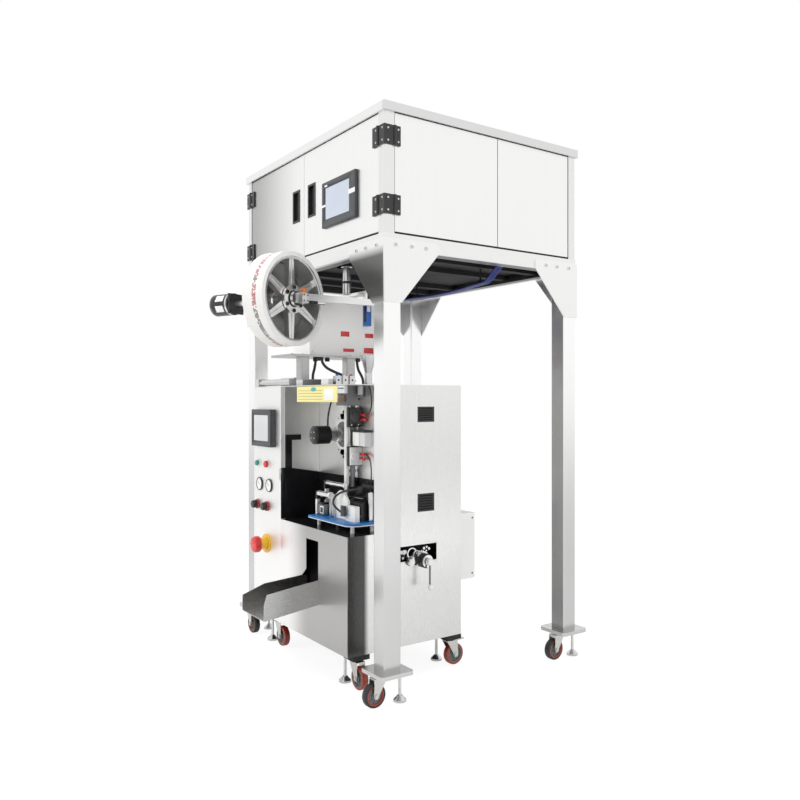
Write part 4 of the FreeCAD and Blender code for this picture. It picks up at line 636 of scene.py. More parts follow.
class Bench:
    """Makes meshes with the modelling operators, each finished at the origin."""

    @staticmethod
    def clear() -> None:
        """Leave edit mode and select nothing."""
        if bpy.context.mode != "OBJECT":
            bpy.ops.object.mode_set(mode="OBJECT")
        bpy.ops.object.select_all(action="DESELECT")

    @staticmethod
    def _settle(name: str, smooth: float = 35.0) -> bpy.types.Object:
        """Name the active object, put its place in its mesh and smooth its soft edges.

        Args:
            name: The piece's name.
            smooth: Angle in degrees up to which an edge is shaded smooth.

        Returns:
            The active object.
        """
        made = bpy.context.object
        made.name = name
        made.data.name = name
        bpy.ops.object.transform_apply(location=True, rotation=True, scale=True)
        bpy.ops.object.shade_smooth_by_angle(angle=math.radians(smooth))
        return made

    @staticmethod
    def block(name: str, low: Point, high: Point, bevel: float = 0.001, steps: int = 2) -> bpy.types.Object:
        """Block between two corners with eased edges.

        Args:
            name: The piece's name.
            low: Lowest corner in metres.
            high: Highest corner in metres.
            bevel: Width of the eased edges in metres.
            steps: Facets across each eased edge.

        Returns:
            The finished object.
        """
        Bench.clear()
        ends = [sorted(pair) for pair in zip(low, high)]
        middle = [(pair[0] + pair[1]) / 2 for pair in ends]
        size = [pair[1] - pair[0] for pair in ends]
        bpy.ops.mesh.primitive_cube_add(size=1.0, location=middle)
        made = bpy.context.object
        made.scale = size
        bpy.ops.object.transform_apply(location=True, rotation=True, scale=True)
        bpy.ops.object.mode_set(mode="EDIT")
        bpy.ops.mesh.select_all(action="SELECT")
        bpy.ops.mesh.bevel(offset=min(bevel, min(size) * 0.45), segments=steps)
        bpy.ops.object.mode_set(mode="OBJECT")
        return Bench._settle(name)

    @staticmethod
    def spun(
        name: str,
        at: Point,
        axis: Axis,
        profile: Profile,
        steps: int = 48,
    ) -> bpy.types.Object:
        """Solid of a closed profile spun about an axis.

        Args:
            name: The piece's name.
            at: Point on the axis that the profile's heights count from.
            axis: Axis that the part lies along.
            profile: Radius and height of each corner, in metres.
            steps: Facets round the part.

        Returns:
            The finished object.
        """
        Bench.clear()
        bpy.ops.mesh.primitive_circle_add(vertices=len(profile), radius=1.0)
        made = bpy.context.object
        for corner, (radius, height) in zip(made.data.vertices, profile):
            corner.co = (max(radius, 0.0), 0.0, height)
        bpy.ops.object.mode_set(mode="EDIT")
        bpy.ops.mesh.select_all(action="SELECT")
        bpy.ops.mesh.spin(steps=steps, angle=2 * math.pi, center=(0.0, 0.0, 0.0), axis=(0.0, 0.0, 1.0))
        bpy.ops.mesh.select_all(action="SELECT")
        bpy.ops.mesh.remove_doubles(threshold=0.000005)
        bpy.ops.mesh.dissolve_degenerate(threshold=0.000001)
        bpy.ops.mesh.select_all(action="SELECT")
        bpy.ops.mesh.normals_make_consistent(inside=False)
        bpy.ops.object.mode_set(mode="OBJECT")
        made.rotation_euler = axis.value
        made.location = at
        return Bench._settle(name)

    @staticmethod
    def rod(name: str, at: Point, axis: Axis, radius: float, length: float) -> bpy.types.Object:
        """Round bar from a point along an axis, with eased ends.

        Args:
            name: The piece's name.
            at: Middle of the bar's first end.
            axis: Axis that it lies along.
            radius: Radius in metres.
            length: Length in metres.

        Returns:
            The finished object.
        """
        ease = min(0.001, radius * 0.4, length * 0.3)
        profile = [
            (0.0, 0.0), (radius - ease, 0.0), (radius, ease),
            (radius, length - ease), (radius - ease, length), (0.0, length),
        ]
        return Bench.spun(name, at, axis, profile, 32)

    @staticmethod
    def ring(name: str, at: Point, axis: Axis, radii: tuple[float, float], length: float) -> bpy.types.Object:
        """Ring between an inner and an outer radius, with eased edges.

        Args:
            name: The piece's name.
            at: Middle of the ring's first end.
            axis: Axis that it lies along.
            radii: Inner and outer radius in metres.
            length: Length in metres.

        Returns:
            The finished object.
        """
        inner, outer = radii
        ease = min(0.0008, (outer - inner) * 0.3, length * 0.3)
        profile = [
            (inner, ease), (inner + ease, 0.0), (outer - ease, 0.0), (outer, ease),
            (outer, length - ease), (outer - ease, length), (inner + ease, length), (inner, length - ease),
        ]
        return Bench.spun(name, at, axis, profile, 40)

    @staticmethod
    def screw(name: str, axis: Axis, radius: float, out: float) -> bpy.types.Object:
        """Socket screw head on a face at the origin, towards +axis or -axis by the sign of out.

        Args:
            name: The piece's name.
            axis: Axis that the head lies along.
            radius: Radius of the head in metres.
            out: Height of the head in metres, below zero towards -axis.

        Returns:
            The finished object.
        """
        sunk = math.copysign(0.0004, -out)
        profile = [
            (0.0, sunk), (radius, sunk), (radius, out * 0.55), (radius * 0.82, out),
            (radius * 0.5, out), (radius * 0.46, out * 0.35), (0.0, out * 0.35),
        ]
        return Bench.spun(name, (0.0, 0.0, 0.0), axis, profile, 14)

    @staticmethod
    def hose(name: str, points: list[Point], radius: float) -> bpy.types.Object:
        """Round lead along a smooth line through a few control points.

        Args:
            name: The piece's name.
            points: Control points in metres.
            radius: Radius of the lead in metres.

        Returns:
            The finished object.
        """
        Bench.clear()
        bpy.ops.curve.primitive_nurbs_path_add()
        made = bpy.context.object
        curve = made.data
        curve.splines.clear()
        spline = curve.splines.new("NURBS")
        spline.points.add(len(points) - 1)
        for spot, point in zip(spline.points, points):
            spot.co = (*point, 1.0)
        spline.order_u = 3
        spline.use_endpoint_u = True
        curve.bevel_depth = radius
        curve.bevel_resolution = 4
        curve.resolution_u = 10
        curve.use_fill_caps = True
        bpy.ops.object.convert(target="MESH")
        return Bench._settle(name, 60.0)

    @staticmethod
    def cut_box(made: bpy.types.Object, low: Point, high: Point) -> None:
        """Take a block out of a piece.

        Args:
            made: The piece.
            low: Lowest corner of the block.
            high: Highest corner of the block.
        """
        tool = Bench.block("tool", low, high, 0.0002, 1)
        Bench.clear()
        made.select_set(True)
        bpy.context.view_layer.objects.active = made
        boolean = made.modifiers.new("cut", "BOOLEAN")
        boolean.object = tool
        boolean.solver = "EXACT"
        bpy.ops.object.modifier_apply(modifier="cut")
        bpy.data.objects.remove(tool)

    @staticmethod
    def copy(made: bpy.types.Object, name: str, move: Matrix) -> bpy.types.Object:
        """Copy a piece with a mesh of its own, moved by a matrix.

        Args:
            made: The piece.
            name: The copy's name.
            move: The matrix that moves it.

        Returns:
            The copy.
        """
        twin = made.copy()
        twin.data = made.data.copy()
        twin.name = name
        twin.data.name = name
        twin.data.transform(move)
        bpy.context.collection.objects.link(twin)
        return twin

    @staticmethod
    def joined(name: str, made: list[bpy.types.Object]) -> bpy.types.Object:
        """One object from several, which keeps each one's finish.

        Args:
            name: The joined object's name.
            made: The pieces, of which the first takes in the others.

        Returns:
            The joined object.
        """
        Bench.clear()
        for thing in made:
            thing.select_set(True)
        bpy.context.view_layer.objects.active = made[0]
        if len(made) > 1:
            bpy.ops.object.join()
        made[0].name = name
        made[0].data.name = name
        return made[0]

    @staticmethod
    def dress(made: bpy.types.Object, material: bpy.types.Material) -> bpy.types.Object:
        """Give a piece one finish.

        Args:
            made: The piece.
            material: Its finish.

        Returns:
            The piece.
        """
        made.data.materials.clear()
        made.data.materials.append(material)
        return made


SHEETS = (
    BrushedSteel("panel_steel", (0.93, 0.93, 0.92), 0.34, cloud=0.04),
    # door_steel: the panels' steel with painted shade, darker towards the left end
    BrushedSteel("door_steel", (0.93, 0.93, 0.92), 0.34, cloud=0.04, light_ramp=PaintedLightRamp(Axis.X, 0.0, -0.62, 0.46)),
    # gusset_steel: the box darkens the front right gusset near the platform to a fifth, painted shade
    BrushedSteel(
        "gusset_steel", (0.91, 0.91, 0.90), cloud=0.04,
        shade_box=PaintedShadeBox((0.28, -0.60, 1.5), (0.6116, -0.5104, 1.722), 0.20, (0.0004, 0.0004, 0.036)),
    ),
    # lid_steel: the box darkens the lid's right end a little, painted shade
    BrushedSteel(
        "lid_steel", (0.88, 0.88, 0.88), 0.32, Axis.X, 0.04,
        shade_box=PaintedShadeBox((0.61, -0.7, 2.0), (0.70, 0.7, 2.4), 0.84),
    ),
    # post_steel: a darker copy of the legs' steel, painted shade on the housing posts
    BrushedSteel("post_steel", (0.83, 0.83, 0.82), cloud=0.04),
    # tube_steel: near-white tone is painted light on the legs, with painted shade darker towards the floor
    # and on a strip down the rear right leg
    BrushedSteel(
        "tube_steel", (0.985, 0.985, 0.98), 0.24, cloud=0.015, light_ramp=PaintedLightRamp(Axis.Z, 1.1, 0.35, 0.60),
        shade_box=PaintedShadeBox((0.50, 0.43, 0.0), (0.62, 0.4362, 1.62), 0.42),
    ),
    # cabinet_steel: darker towards the floor and nearly black on a strip at the front right corner, both
    # painted shade
    BrushedSteel(
        "cabinet_steel", (0.86, 0.86, 0.85), 0.28, cloud=0.05, light_ramp=PaintedLightRamp(Axis.Z, 0.62, 0.30, 0.82),
        shade_box=PaintedShadeBox((0.40, -0.60, 0.05), (0.42, -0.448, 0.70), 0.10, (0.0004, 0.022, 0.0004)),
    ),
    # front_steel: darker towards the right of the slot, painted shade
    BrushedSteel("front_steel", (0.90, 0.89, 0.88), cloud=0.05, light_ramp=PaintedLightRamp(Axis.X, -0.12, 0.09, 0.49)),
    BrushedSteel("column_steel", (0.95, 0.95, 0.94), 0.50, cloud=0.04),
    # recess_steel: the dark tone is painted shade in the recess, and the step to half again as bright past x
    # -0.17 is painted light
    BrushedSteel(
        "recess_steel", (0.65, 0.65, 0.64), 0.36, cloud=0.06,
        light_ramp=PaintedLightRamp(Axis.X, -0.172, -0.168, 1.50),
    ),
    # beam_steel: the box darkens the beams' inner faces, painted shade
    BrushedSteel(
        "beam_steel", (0.88, 0.88, 0.87), 0.32, Axis.X, 0.05,
        shade_box=PaintedShadeBox((-0.58, -0.49, 1.6), (0.603, 0.49, 1.80), 0.14),
    ),
    BrushedSteel("tray_steel", (0.50, 0.50, 0.49), 0.28, Axis.Y, 0.08),
    BrushedSteel("plate_steel", (0.47, 0.47, 0.46), 0.28, Axis.X),
    BrushedSteel("pale_steel", (0.90, 0.90, 0.89), 0.30, Axis.X, 0.05),
    BrushedSteel("dish_steel", (0.26, 0.26, 0.25), 0.32, cloud=0.16),
)
METALS = (
    PolishedMetal("chrome"),
    PolishedMetal("satin_chrome", (0.70, 0.70, 0.70), 0.24),
    PolishedMetal("zinc_plate", (0.62, 0.62, 0.60), 0.30),
    PolishedMetal("dark_chrome", (0.20, 0.20, 0.21), 0.22),
    CastMetal("dark_alloy", (0.24, 0.24, 0.25), 0.45),
)
COATINGS = (
    GlossyBlack("black_sheet"),
    Coating("black_plastic", (0.018, 0.018, 0.019), 0.34, 420.0, 0.00008, 0.3),
    # deck: near-black, painted shade of the deck's underside under the housing, also read as a black coat
    Coating("deck_paint", (0.010, 0.010, 0.012), 0.75, 200.0, 0.0001, 0.3),
    Coating("black_gasket", (0.010, 0.010, 0.010), 0.7, 200.0, 0.0001, 0.3),
    Coating("screen_case", (0.045, 0.047, 0.052), 0.42, 700.0, 0.00008),
    Coating("white_plastic", (0.78, 0.78, 0.76), 0.45, dust=0.05),
    Coating("pale_grey_paint", (0.62, 0.63, 0.63), 0.42, 380.0, 0.00008, 0.05, 0.2),
    Coating("box_paint", (0.93, 0.92, 0.91), 0.42, 380.0, 0.00008, 0.04, 0.2),
    Coating("white_paint", (0.80, 0.80, 0.79), 0.40, 380.0, 0.00008, 0.04, 0.2),
    Coating("blue_plastic", (0.01, 0.12, 0.45), 0.30, dust=0.1, coat=0.3),
    Coating("red_plastic", (0.62, 0.012, 0.012), 0.26, 300.0, 0.00004, 0.08, 0.5),
    Coating("dark_red_plastic", (0.30, 0.008, 0.014), 0.30, 300.0, 0.00004, 0.08, 0.4),
    Coating("maroon_plate", (0.36, 0.02, 0.045), 0.45, 500.0),
    Coating("green_plastic", (0.01, 0.30, 0.20), 0.26, 300.0, 0.00004, 0.08, 0.5),
    Coating("yellow_plastic", (0.80, 0.47, 0.01), 0.30, 300.0, 0.00004, 0.07, 0.4),
    Coating("orange_plastic", (0.75, 0.20, 0.01), 0.35),
    Coating("brown_plastic", (0.09, 0.052, 0.034)),
    Coating("yellow_label", (0.82, 0.74, 0.30), 0.5, 500.0, 0.00003, 0.04),
    Coating("teal_paint", (0.05, 0.42, 0.45), 0.5),
    Coating("tread_red", (0.30, 0.036, 0.013), 0.34, 160.0, 0.00012, 0.2, 0.25),
    Coating("tread_black", (0.016, 0.015, 0.015), 0.42, 160.0, 0.00012, 0.3),
    Coating("wheel_core", (0.13, 0.13, 0.13), 0.5, 260.0, 0.0001, 0.15),
    Coating("rubber", (0.013, 0.013, 0.013), 0.5, 240.0, 0.00008, 0.3),
    SplitSkin("cord_rubber", 1.62, (0.014, 0.014, 0.014), (0.012, 0.03, 0.24), 0.3),
    SplitSkin("blue_plate_paint", 0.643, (0.80, 0.80, 0.79), (0.005, 0.14, 0.40), 0.0),
    LitScreen("lit_screen"),
    LitScreen("pale_screen", (0.46, 0.47, 0.48), (0.56, 0.57, 0.58), 0.10),
)


class Shop:
    """The finishes, built once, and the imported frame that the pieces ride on."""

    def __init__(self, frame: dict) -> None:
        """Build every finish.
        """
        self.frame = frame
        self.count = 0
        film = PrintedFilm("printed_film", mm(*REEL_HUB), math.radians(REEL_TURN))
        self.finish = {finish.name: finish.material() for finish in (*SHEETS, *METALS, *COATINGS, film)}

    def paint(self, finishes: dict[str, str]) -> None:
        """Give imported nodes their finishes.

        Args:
            finishes: Finish of each node, by the node's name.
        """
        for node, finish in finishes.items():
            for slot in self.frame["nodes"][node].material_slots:
                slot.material = self.finish[finish]

    def dressed(self, made: bpy.types.Object, finish: str) -> bpy.types.Object:
        """Give a new piece a finish by its name."""
        return Bench.dress(made, self.finish[finish])

    def add(self, piece: bpy.types.Object, slot: str, body: str, stands_for: tuple[str, ...]) -> None:
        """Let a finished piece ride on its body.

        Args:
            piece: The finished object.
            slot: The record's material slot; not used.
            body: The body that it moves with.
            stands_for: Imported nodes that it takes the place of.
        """
        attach(piece, body)
        if stands_for:
            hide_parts(*stands_for)
        self.count += 1
        LOG.info("%s rides on %s with %d faces", piece.name, body, len(piece.data.polygons))


class Kit:
    """Gathers dressed parts, sized in millimetres, until they are joined into one piece."""

    def __init__(self, shop: Shop) -> None:
        """Start with nothing.

        Args:
            shop: The finishes, and the frame that the pieces ride on.
        """
        self.shop = shop
        self.parts: list[bpy.types.Object] = []
        self.screws: dict[tuple[Axis, float, float], bpy.types.Object] = {}

    def take(self, made: bpy.types.Object, finish: str) -> bpy.types.Object:
        """Give a made part its finish and keep it."""
        self.parts.append(self.shop.dressed(made, finish))
        return made

    def block(self, low: Point, high: Point, finish: str, bevel: float = 1.0, steps: int = 2) -> None:
        """Eased block between two corners."""
        self.take(Bench.block("block", mm(*low), mm(*high), bevel * MM, steps), finish)

    def rod(self, at: Point, axis: Axis, radius: float, length: float, finish: str) -> bpy.types.Object:
        """Eased round bar from a point along an axis."""
        return self.take(Bench.rod("rod", mm(*at), axis, radius * MM, length * MM), finish)

    def ring(self, at: Point, axis: Axis, radii: tuple[float, float], length: float, finish: str) -> None:
        """Eased ring from a point along an axis."""
        self.take(Bench.ring("ring", mm(*at), axis, mm(*radii), length * MM), finish)

    def spun(self, at: Point, axis: Axis, profile: Profile, finish: str, steps: int = 48) -> None:
        """Turned part from radii and heights."""
        self.take(Bench.spun("spun", mm(*at), axis, [mm(*pair) for pair in profile], steps), finish)

    def screw(
        self, at: Point, axis: Axis, out: float = 2.2, radius: float = 4.0, finish: str = "satin_chrome"
    ) -> None:
        """Socket screw head on a face, modelled once for each kind and copied.

        Args:
            at: Middle of the head's seat.
            axis: Axis that the head lies along.
            out: Height of the head, below zero towards -axis.
            radius: Radius of the head.
            finish: The head's finish.
        """
        kind = (axis, out, radius)
        if kind not in self.screws:
            self.screws[kind] = Bench.screw("screw", axis, radius * MM, out * MM)
        self.take(Bench.copy(self.screws[kind], "screw", Matrix.Translation(mm(*at))), finish)

    def hose(self, points: list[Point], radius: float, finish: str) -> None:
        """Smooth lead through a few control points."""
        self.take(Bench.hose("lead", [mm(*point) for point in points], radius * MM), finish)

    def repeat(self, made: bpy.types.Object, moves: list[Matrix], finish: str) -> None:
        """Copy a made pattern to some places, and drop the pattern.

        Args:
            made: The pattern, about the origin.
            moves: The matrix of each copy, in metres.
            finish: The copies' finish.
        """
        for move in moves:
            self.take(Bench.copy(made, made.name, move), finish)
        bpy.data.objects.remove(made)

    def joined(self, name: str) -> bpy.types.Object:
        """Join the parts into one object, and start again with nothing.

        Args:
            name: The object's name.

        Returns:
            The joined object.
        """
        for pattern in self.screws.values():
            bpy.data.objects.remove(pattern)
        made = Bench.joined(name, self.parts)
        self.screws = {}
        self.parts = []
        return made

    def done(self, name: str, slot: str, body: str = "machine", stands_for: tuple[str, ...] = ()) -> None:
        """Join the parts into one piece that rides on a body."""
        self.shop.add(self.joined(name), slot, body, stands_for)


@dataclass
class Studio:
    """Pale floor, soft lamps and the camera at the photograph's view."""

    eye: Point = (3.0044, -2.1035, 1.1456)
    heading: float = 55.18
    lens: float = 34.97
    floor_side: float = 60.0
    floor_glow: float = 1.12
    world_dull: Colour = (0.62, 0.62, 0.62)
    world_low: Colour = (0.55, 0.55, 0.55)

    def build(self) -> None:
        """Make the camera, floor, world and lamps."""
        self._camera()
        self._floor()
        self._world()
        self._lamps()
        bpy.context.scene.view_settings.view_transform = "Standard"

    def _camera(self) -> None:
        """Add the camera."""
        Bench.clear()
        turn = (math.radians(90.0), 0.0, math.radians(self.heading))
        bpy.ops.object.camera_add(location=self.eye, rotation=turn)
        camera = bpy.context.object
        camera.name = "studio_camera"
        camera.data.lens = self.lens
        camera.data.sensor_width = 36.0
        camera.data.clip_end = 200.0
        bpy.context.scene.camera = camera

    def _floor(self) -> None:
        """Add the floor, which shows white but keeps the machine's shadow."""
        Bench.clear()
        bpy.ops.mesh.primitive_plane_add(size=self.floor_side, location=(0.0, 0.0, -0.0005))
        floor = bpy.context.object
        floor.name = "studio_floor"
        graph = Graph("studio_floor")
        grain = graph.noise(graph.place(), 3.0, 2.0)
        graph.set(base_color=graph.mix(grain, (0.90, 0.90, 0.90), (0.93, 0.93, 0.93)), roughness=0.9)
        lit = {"Color": (1.0, 1.0, 1.0), "Strength": self.floor_glow}
        glow = graph.node("ShaderNodeEmission", inputs=lit)
        seen = graph.node("ShaderNodeLightPath", output="Is Camera Ray")
        glossy = graph.node("ShaderNodeLightPath", output="Is Glossy Ray")
        plain = Value(graph, graph.shader.outputs[0])
        shares = {0: seen * 0.80 + glossy * 0.30, 1: plain, 2: glow}
        shown = graph.node("ShaderNodeMixShader", inputs=shares)
        graph.feed(graph.tree.nodes["Material Output"].inputs[0], shown)
        Bench.dress(floor, graph.material)

    def _world(self) -> None:
        """Light the world, white for the eye and in mirrors and softer on dull faces."""
        world = bpy.data.worlds.new("studio_world")
        world.use_nodes = True
        bpy.context.scene.world = world
        nodes = Nodes(world.node_tree)
        up = nodes.parts(nodes.node("ShaderNodeTexCoord", output="Generated"))[2]
        level = nodes.node("ShaderNodeMapRange", inputs={"Value": up, "From Min": -1.0})
        white = (1.0, 1.0, 1.0)
        stops = {"stops": [(0.30, self.world_low), (0.50, white)]}
        sky = nodes.node("ShaderNodeValToRGB", stops, {0: level})
        glossy = nodes.node("ShaderNodeLightPath", output="Is Glossy Ray")
        seen = nodes.node("ShaderNodeLightPath", output="Is Camera Ray")
        shown = nodes.mix(seen, nodes.mix(glossy, self.world_dull, sky), white)
        nodes.feed(nodes.tree.nodes["Background"].inputs["Color"], shown)

    def _lamps(self) -> None:
        """Add large soft lamps above, in front and at the right."""
        lamps = [
            ("top_lamp", (0.4, -0.6, 4.2), (0.0, 0.0, 1.2), 3.2, 90.0),
            ("front_lamp", (-1.8, -4.2, 2.2), (0.0, -0.4, 1.0), 2.6, 92.0),
            ("right_lamp", (4.4, 0.6, 2.0), (0.3, 0.0, 1.0), 2.6, 50.0),
        ]
        for name, spot, aim, side, watts in lamps:
            Bench.clear()
            bpy.ops.object.light_add(type="AREA", location=spot)
            lamp = bpy.context.object
            lamp.name = name
            lamp.data.size = side
            lamp.data.energy = watts
            away = Vector(aim) - Vector(spot)
            lamp.rotation_euler = away.to_track_quat("-Z", "Y").to_euler()
            lamp.visible_glossy = False


@dataclass
class Assembly:
    kit: Kit


@dataclass
class LegFrame(Assembly):
    """Legs, gussets, beams and deck, with the bolts of the gussets."""

    bolt_radius: float = 7.5
    bolt_out: float = 4.0
    bolt_rise: float = 16.0
    bolt_insets: tuple[float, ...] = (52.0, 126.0, 193.0)

    def build(self) -> None:
        """Dress the frame and put three bolts on each face of each gusset."""
        self.kit.shop.paint({
            "frame_legs": "tube_steel",
            "corner_gussets": "gusset_steel",
            "platform_beams": "beam_steel",
            "platform_deck": "deck_paint",
            "leveling_feet": "satin_chrome",
        })
        kit = self.kit
        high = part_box("corner_gussets")[1] / MM
        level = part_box("platform_beams")[0].z / MM + self.bolt_rise
        for side_x, side_y, inset in product((-1, 1), (-1, 1), self.bolt_insets):
            x, y = high.x * side_x, high.y * side_y
            kit.screw((x, y - inset * side_y, level), Axis.X, self.bolt_out * side_x, self.bolt_radius)
            kit.screw((x - inset * side_x, y, level), Axis.Y, self.bolt_out * side_y, self.bolt_radius)
        kit.done("gusset_bolts", "bright_steel")


@dataclass
class WeigherHousing(Assembly):
    """Upper housing: doors, panels, lid, hinges and pulls."""

    seal_back: float = 6.0
    seal_deep: float = 12.0
    seal_lap: float = 4.0
    side_reach: float = 460.0
    door_gap: float = -25.0
    panel_gap: float = 50.0
    post_middle: float = 47.0
    gap_half: float = 5.0
    post_half: float = 6.0
    screw_radius: float = 4.2
    screw_out: float = 2.2
    hinge_levels: tuple[float, ...] = (70.0, 328.0)
    screw_rises: tuple[float, ...] = (14.0, 60.0)
    front_insets: tuple[float, ...] = (18.0, 62.0)
    side_insets: tuple[float, ...] = (14.0, 60.0)
    front_leaf: float = -514.0
    side_leaf: float = 616.5
    corner: float = -510.0

    def build(self) -> None:
        """Dress the housing and add its seals and screws."""
        self.kit.shop.paint({
            "housing_frame": "post_steel",
            "housing_lid": "lid_steel",
            "front_doors": "door_steel",
            "side_panels": "panel_steel",
            "door_furniture": "black_plastic",
        })
        self._seals()
        self._hinge_screws()

    def _seals(self) -> None:
        """Black rubber seals that show in the gaps round the doors and panels."""
        frame_low, frame_high = (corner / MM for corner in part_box("housing_frame"))
        door_low, door_high = (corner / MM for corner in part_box("front_doors"))
        panel_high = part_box("side_panels")[1] / MM
        inner = self.seal_back + self.seal_deep
        front = (door_low.y + self.seal_back, door_low.y + inner)
        rear = (panel_high.y - inner, panel_high.y - self.seal_back)
        under = (frame_low.z + 1.0, door_low.z + self.seal_lap)
        over = (door_high.z - self.seal_lap, frame_high.z - 0.2)
        tall = (door_low.z, door_high.z)
        spans = [((door_low.x, door_high.x), y, z) for y, z in product((front, rear), (under, over))]
        half = self.gap_half
        spans += [((self.door_gap - half, self.door_gap + half), front, tall), ((-half, half), rear, tall)]
        uprights = (
            (self.panel_gap, half),
            (door_low.y + self.post_middle, self.post_half),
            (panel_high.y - self.post_middle, self.post_half),
        )
        for side in (-1, 1):
            across = (side * (panel_high.x - self.seal_back), side * (panel_high.x - inner))
            spans += [(across, (-self.side_reach, self.side_reach), z) for z in (under, over)]
            spans += [(across, (middle - wide, middle + wide), tall) for middle, wide in uprights]
        kit = self.kit
        for span in spans:
            low, high = zip(*span)
            kit.block(low, high, "black_gasket", 0.6)
        kit.done("door_seals", "black_plastic")

    def _hinge_screws(self) -> None:
        """Two bright screws on each leaf of each hinge."""
        kit = self.kit
        out, radius = self.screw_out, self.screw_radius
        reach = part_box("door_furniture")[1].x / MM
        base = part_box("platform_beams")[1].z / MM
        for level, rise, side in product(self.hinge_levels, self.screw_rises, (-1, 1)):
            z = base + level + rise
            for inset in self.front_insets:
                kit.screw((side * (reach - inset), self.front_leaf, z), Axis.Y, -out, radius)
            for inset in self.side_insets:
                kit.screw((side * self.side_leaf, self.corner + inset, z), Axis.X, out * side, radius)
        kit.done("hinge_screws", "bright_steel")


@dataclass
class TouchScreens(Assembly):
    """Both touch screens, each a dark case with a rim and a lit page."""

    upper: tuple[Point, Point] = ((155.5, -520.0, 1859.5), (421.5, -508.0, 2047.5))
    upper_margins: Span = (30.0, 46.0, 32.0, 26.0)
    lower: tuple[Point, Point] = ((-429.5, -575.0, 930.0), (-223.5, -547.0, 1102.0))
    lower_margins: Span = (26.0, 26.0, 26.0, 26.0)
    clips: tuple[tuple[Point, Point], ...] = (
        ((157.5, -520.8, 1945.0), (190.0, -519.6, 1954.0)),
        ((372.0, -520.8, 1958.0), (419.5, -519.6, 1976.0)),
        ((181.0, -520.8, 2026.0), (203.0, -519.6, 2033.0)),
    )

    def build(self) -> None:
        """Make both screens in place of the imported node."""
        kit = self.kit
        self._screen(self.upper, self.upper_margins, "lit_screen")
        self._screen(self.lower, self.lower_margins, "pale_screen")
        for low, high in self.clips:
            kit.block(low, high, "white_plastic", 0.4)
        kit.done("touch_screen_cases", "black_plastic", stands_for=("touch_screens",))

    def _screen(self, corners: tuple[Point, Point], margins: Span, page: str) -> None:
        """One screen.

        Args:
            corners: Lowest and highest corner of the case.
            margins: Widths of the case left, right, below and above the page.
            page: Finish of the lit page.
        """
        kit = self.kit
        low, high = corners
        left, right, below, above = margins
        west, east = low[0] + left, high[0] - right
        bottom, top = low[2] + below, high[2] - above
        face = low[1]
        case = Bench.block("case", mm(*low), mm(*high), 0.003, 3)
        Bench.cut_box(case, mm(west, face - 1.0, bottom), mm(east, face + 1.6, top))
        kit.take(case, "screen_case")
        kit.block((west, face + 1.2, bottom), (east, face + 2.6, top), page, 0.3, 1)


@dataclass
class Cabinet(Assembly):
    """Cabinet sheets, vents, slot and tray."""

    vent_spans: tuple[tuple[float, float], ...] = ((682.0, 757.0), (1054.0, 1118.0))
    wires: int = 17
    wire_wide: float = 1.6
    gland_rises: tuple[float, ...] = (118.0, 188.0)
    slot_depth: float = 74.0
    slot_rim: float = 50.0
    window_depth: float = 75.0
    window_y: tuple[float, float] = (-345.0, -60.0)
    window_z: tuple[float, float] = (440.0, 580.0)

    def build(self) -> None:
        """Dress the sheets and add what shows inside them."""
        self.kit.shop.paint({
            "cabinet_shell": "cabinet_steel",
            "cabinet_right_panel": "cabinet_steel",
            "lower_front_panel": "front_steel",
            "cabinet_top": "lid_steel",
            "control_panel": "column_steel",
            "recess_walls": "recess_steel",
            "black_counter": "black_sheet",
            "cabinet_base": "black_gasket",
            "side_vents": "black_plastic",
            "discharge_tray": "tray_steel",
            "electrical_box": "white_paint",
        })
        self._shade_backings()
        self._vent_mesh()
        self._box_screws()

    def _shade_backings(self) -> None:
        """Black sheets behind the slot and the side window, painted shade for the cabinet's dark inside."""
        kit = self.kit
        low, high = (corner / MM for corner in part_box("lower_front_panel"))
        back, rim = low.y + self.slot_depth, self.slot_rim
        kit.block((low.x + rim, back, low.z + rim), (high.x - rim, back + 6, high.z - 20), "black_gasket")
        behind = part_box("cabinet_right_panel")[1].x / MM - self.window_depth
        (near, far), (base, top) = self.window_y, self.window_z
        kit.block((behind, near, base), (behind + 4, far, top), "black_gasket")
        kit.done("dark_liners", "black_plastic")

    def _vent_mesh(self) -> None:
        """Fine upright wires across both vents."""
        kit = self.kit
        low, high = (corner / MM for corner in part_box("side_vents"))
        step = (high.y - low.y - 4.0) / (self.wires - 1)
        for base, top in self.vent_spans:
            first = mm(high.x - 1.5, low.y + 1.0, base)
            wire = Bench.block("wire", first, mm(high.x - 0.2, low.y + 1.0 + self.wire_wide, top), 0.0003, 1)
            moves = [Matrix.Translation(mm(0.0, step * index, 0.0)) for index in range(self.wires)]
            kit.repeat(wire, moves, "black_plastic")
        kit.done("vent_wires", "black_plastic")

    def _box_screws(self) -> None:
        """Screws and black glands on the white wiring box."""
        kit = self.kit
        low, high = (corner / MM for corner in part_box("electrical_box"))
        for y, z in product((low.y + 30, high.y - 16), (low.z + 22, high.z - 22)):
            kit.screw((high.x, y, z), Axis.X, 2, 4, "black_plastic")
        for rise in self.gland_rises:
            kit.rod((high.x - 1, low.y + 28, low.z + rise), Axis.X, 6, 4, "black_plastic")
        kit.done("wiring_box_screws", "black_plastic")


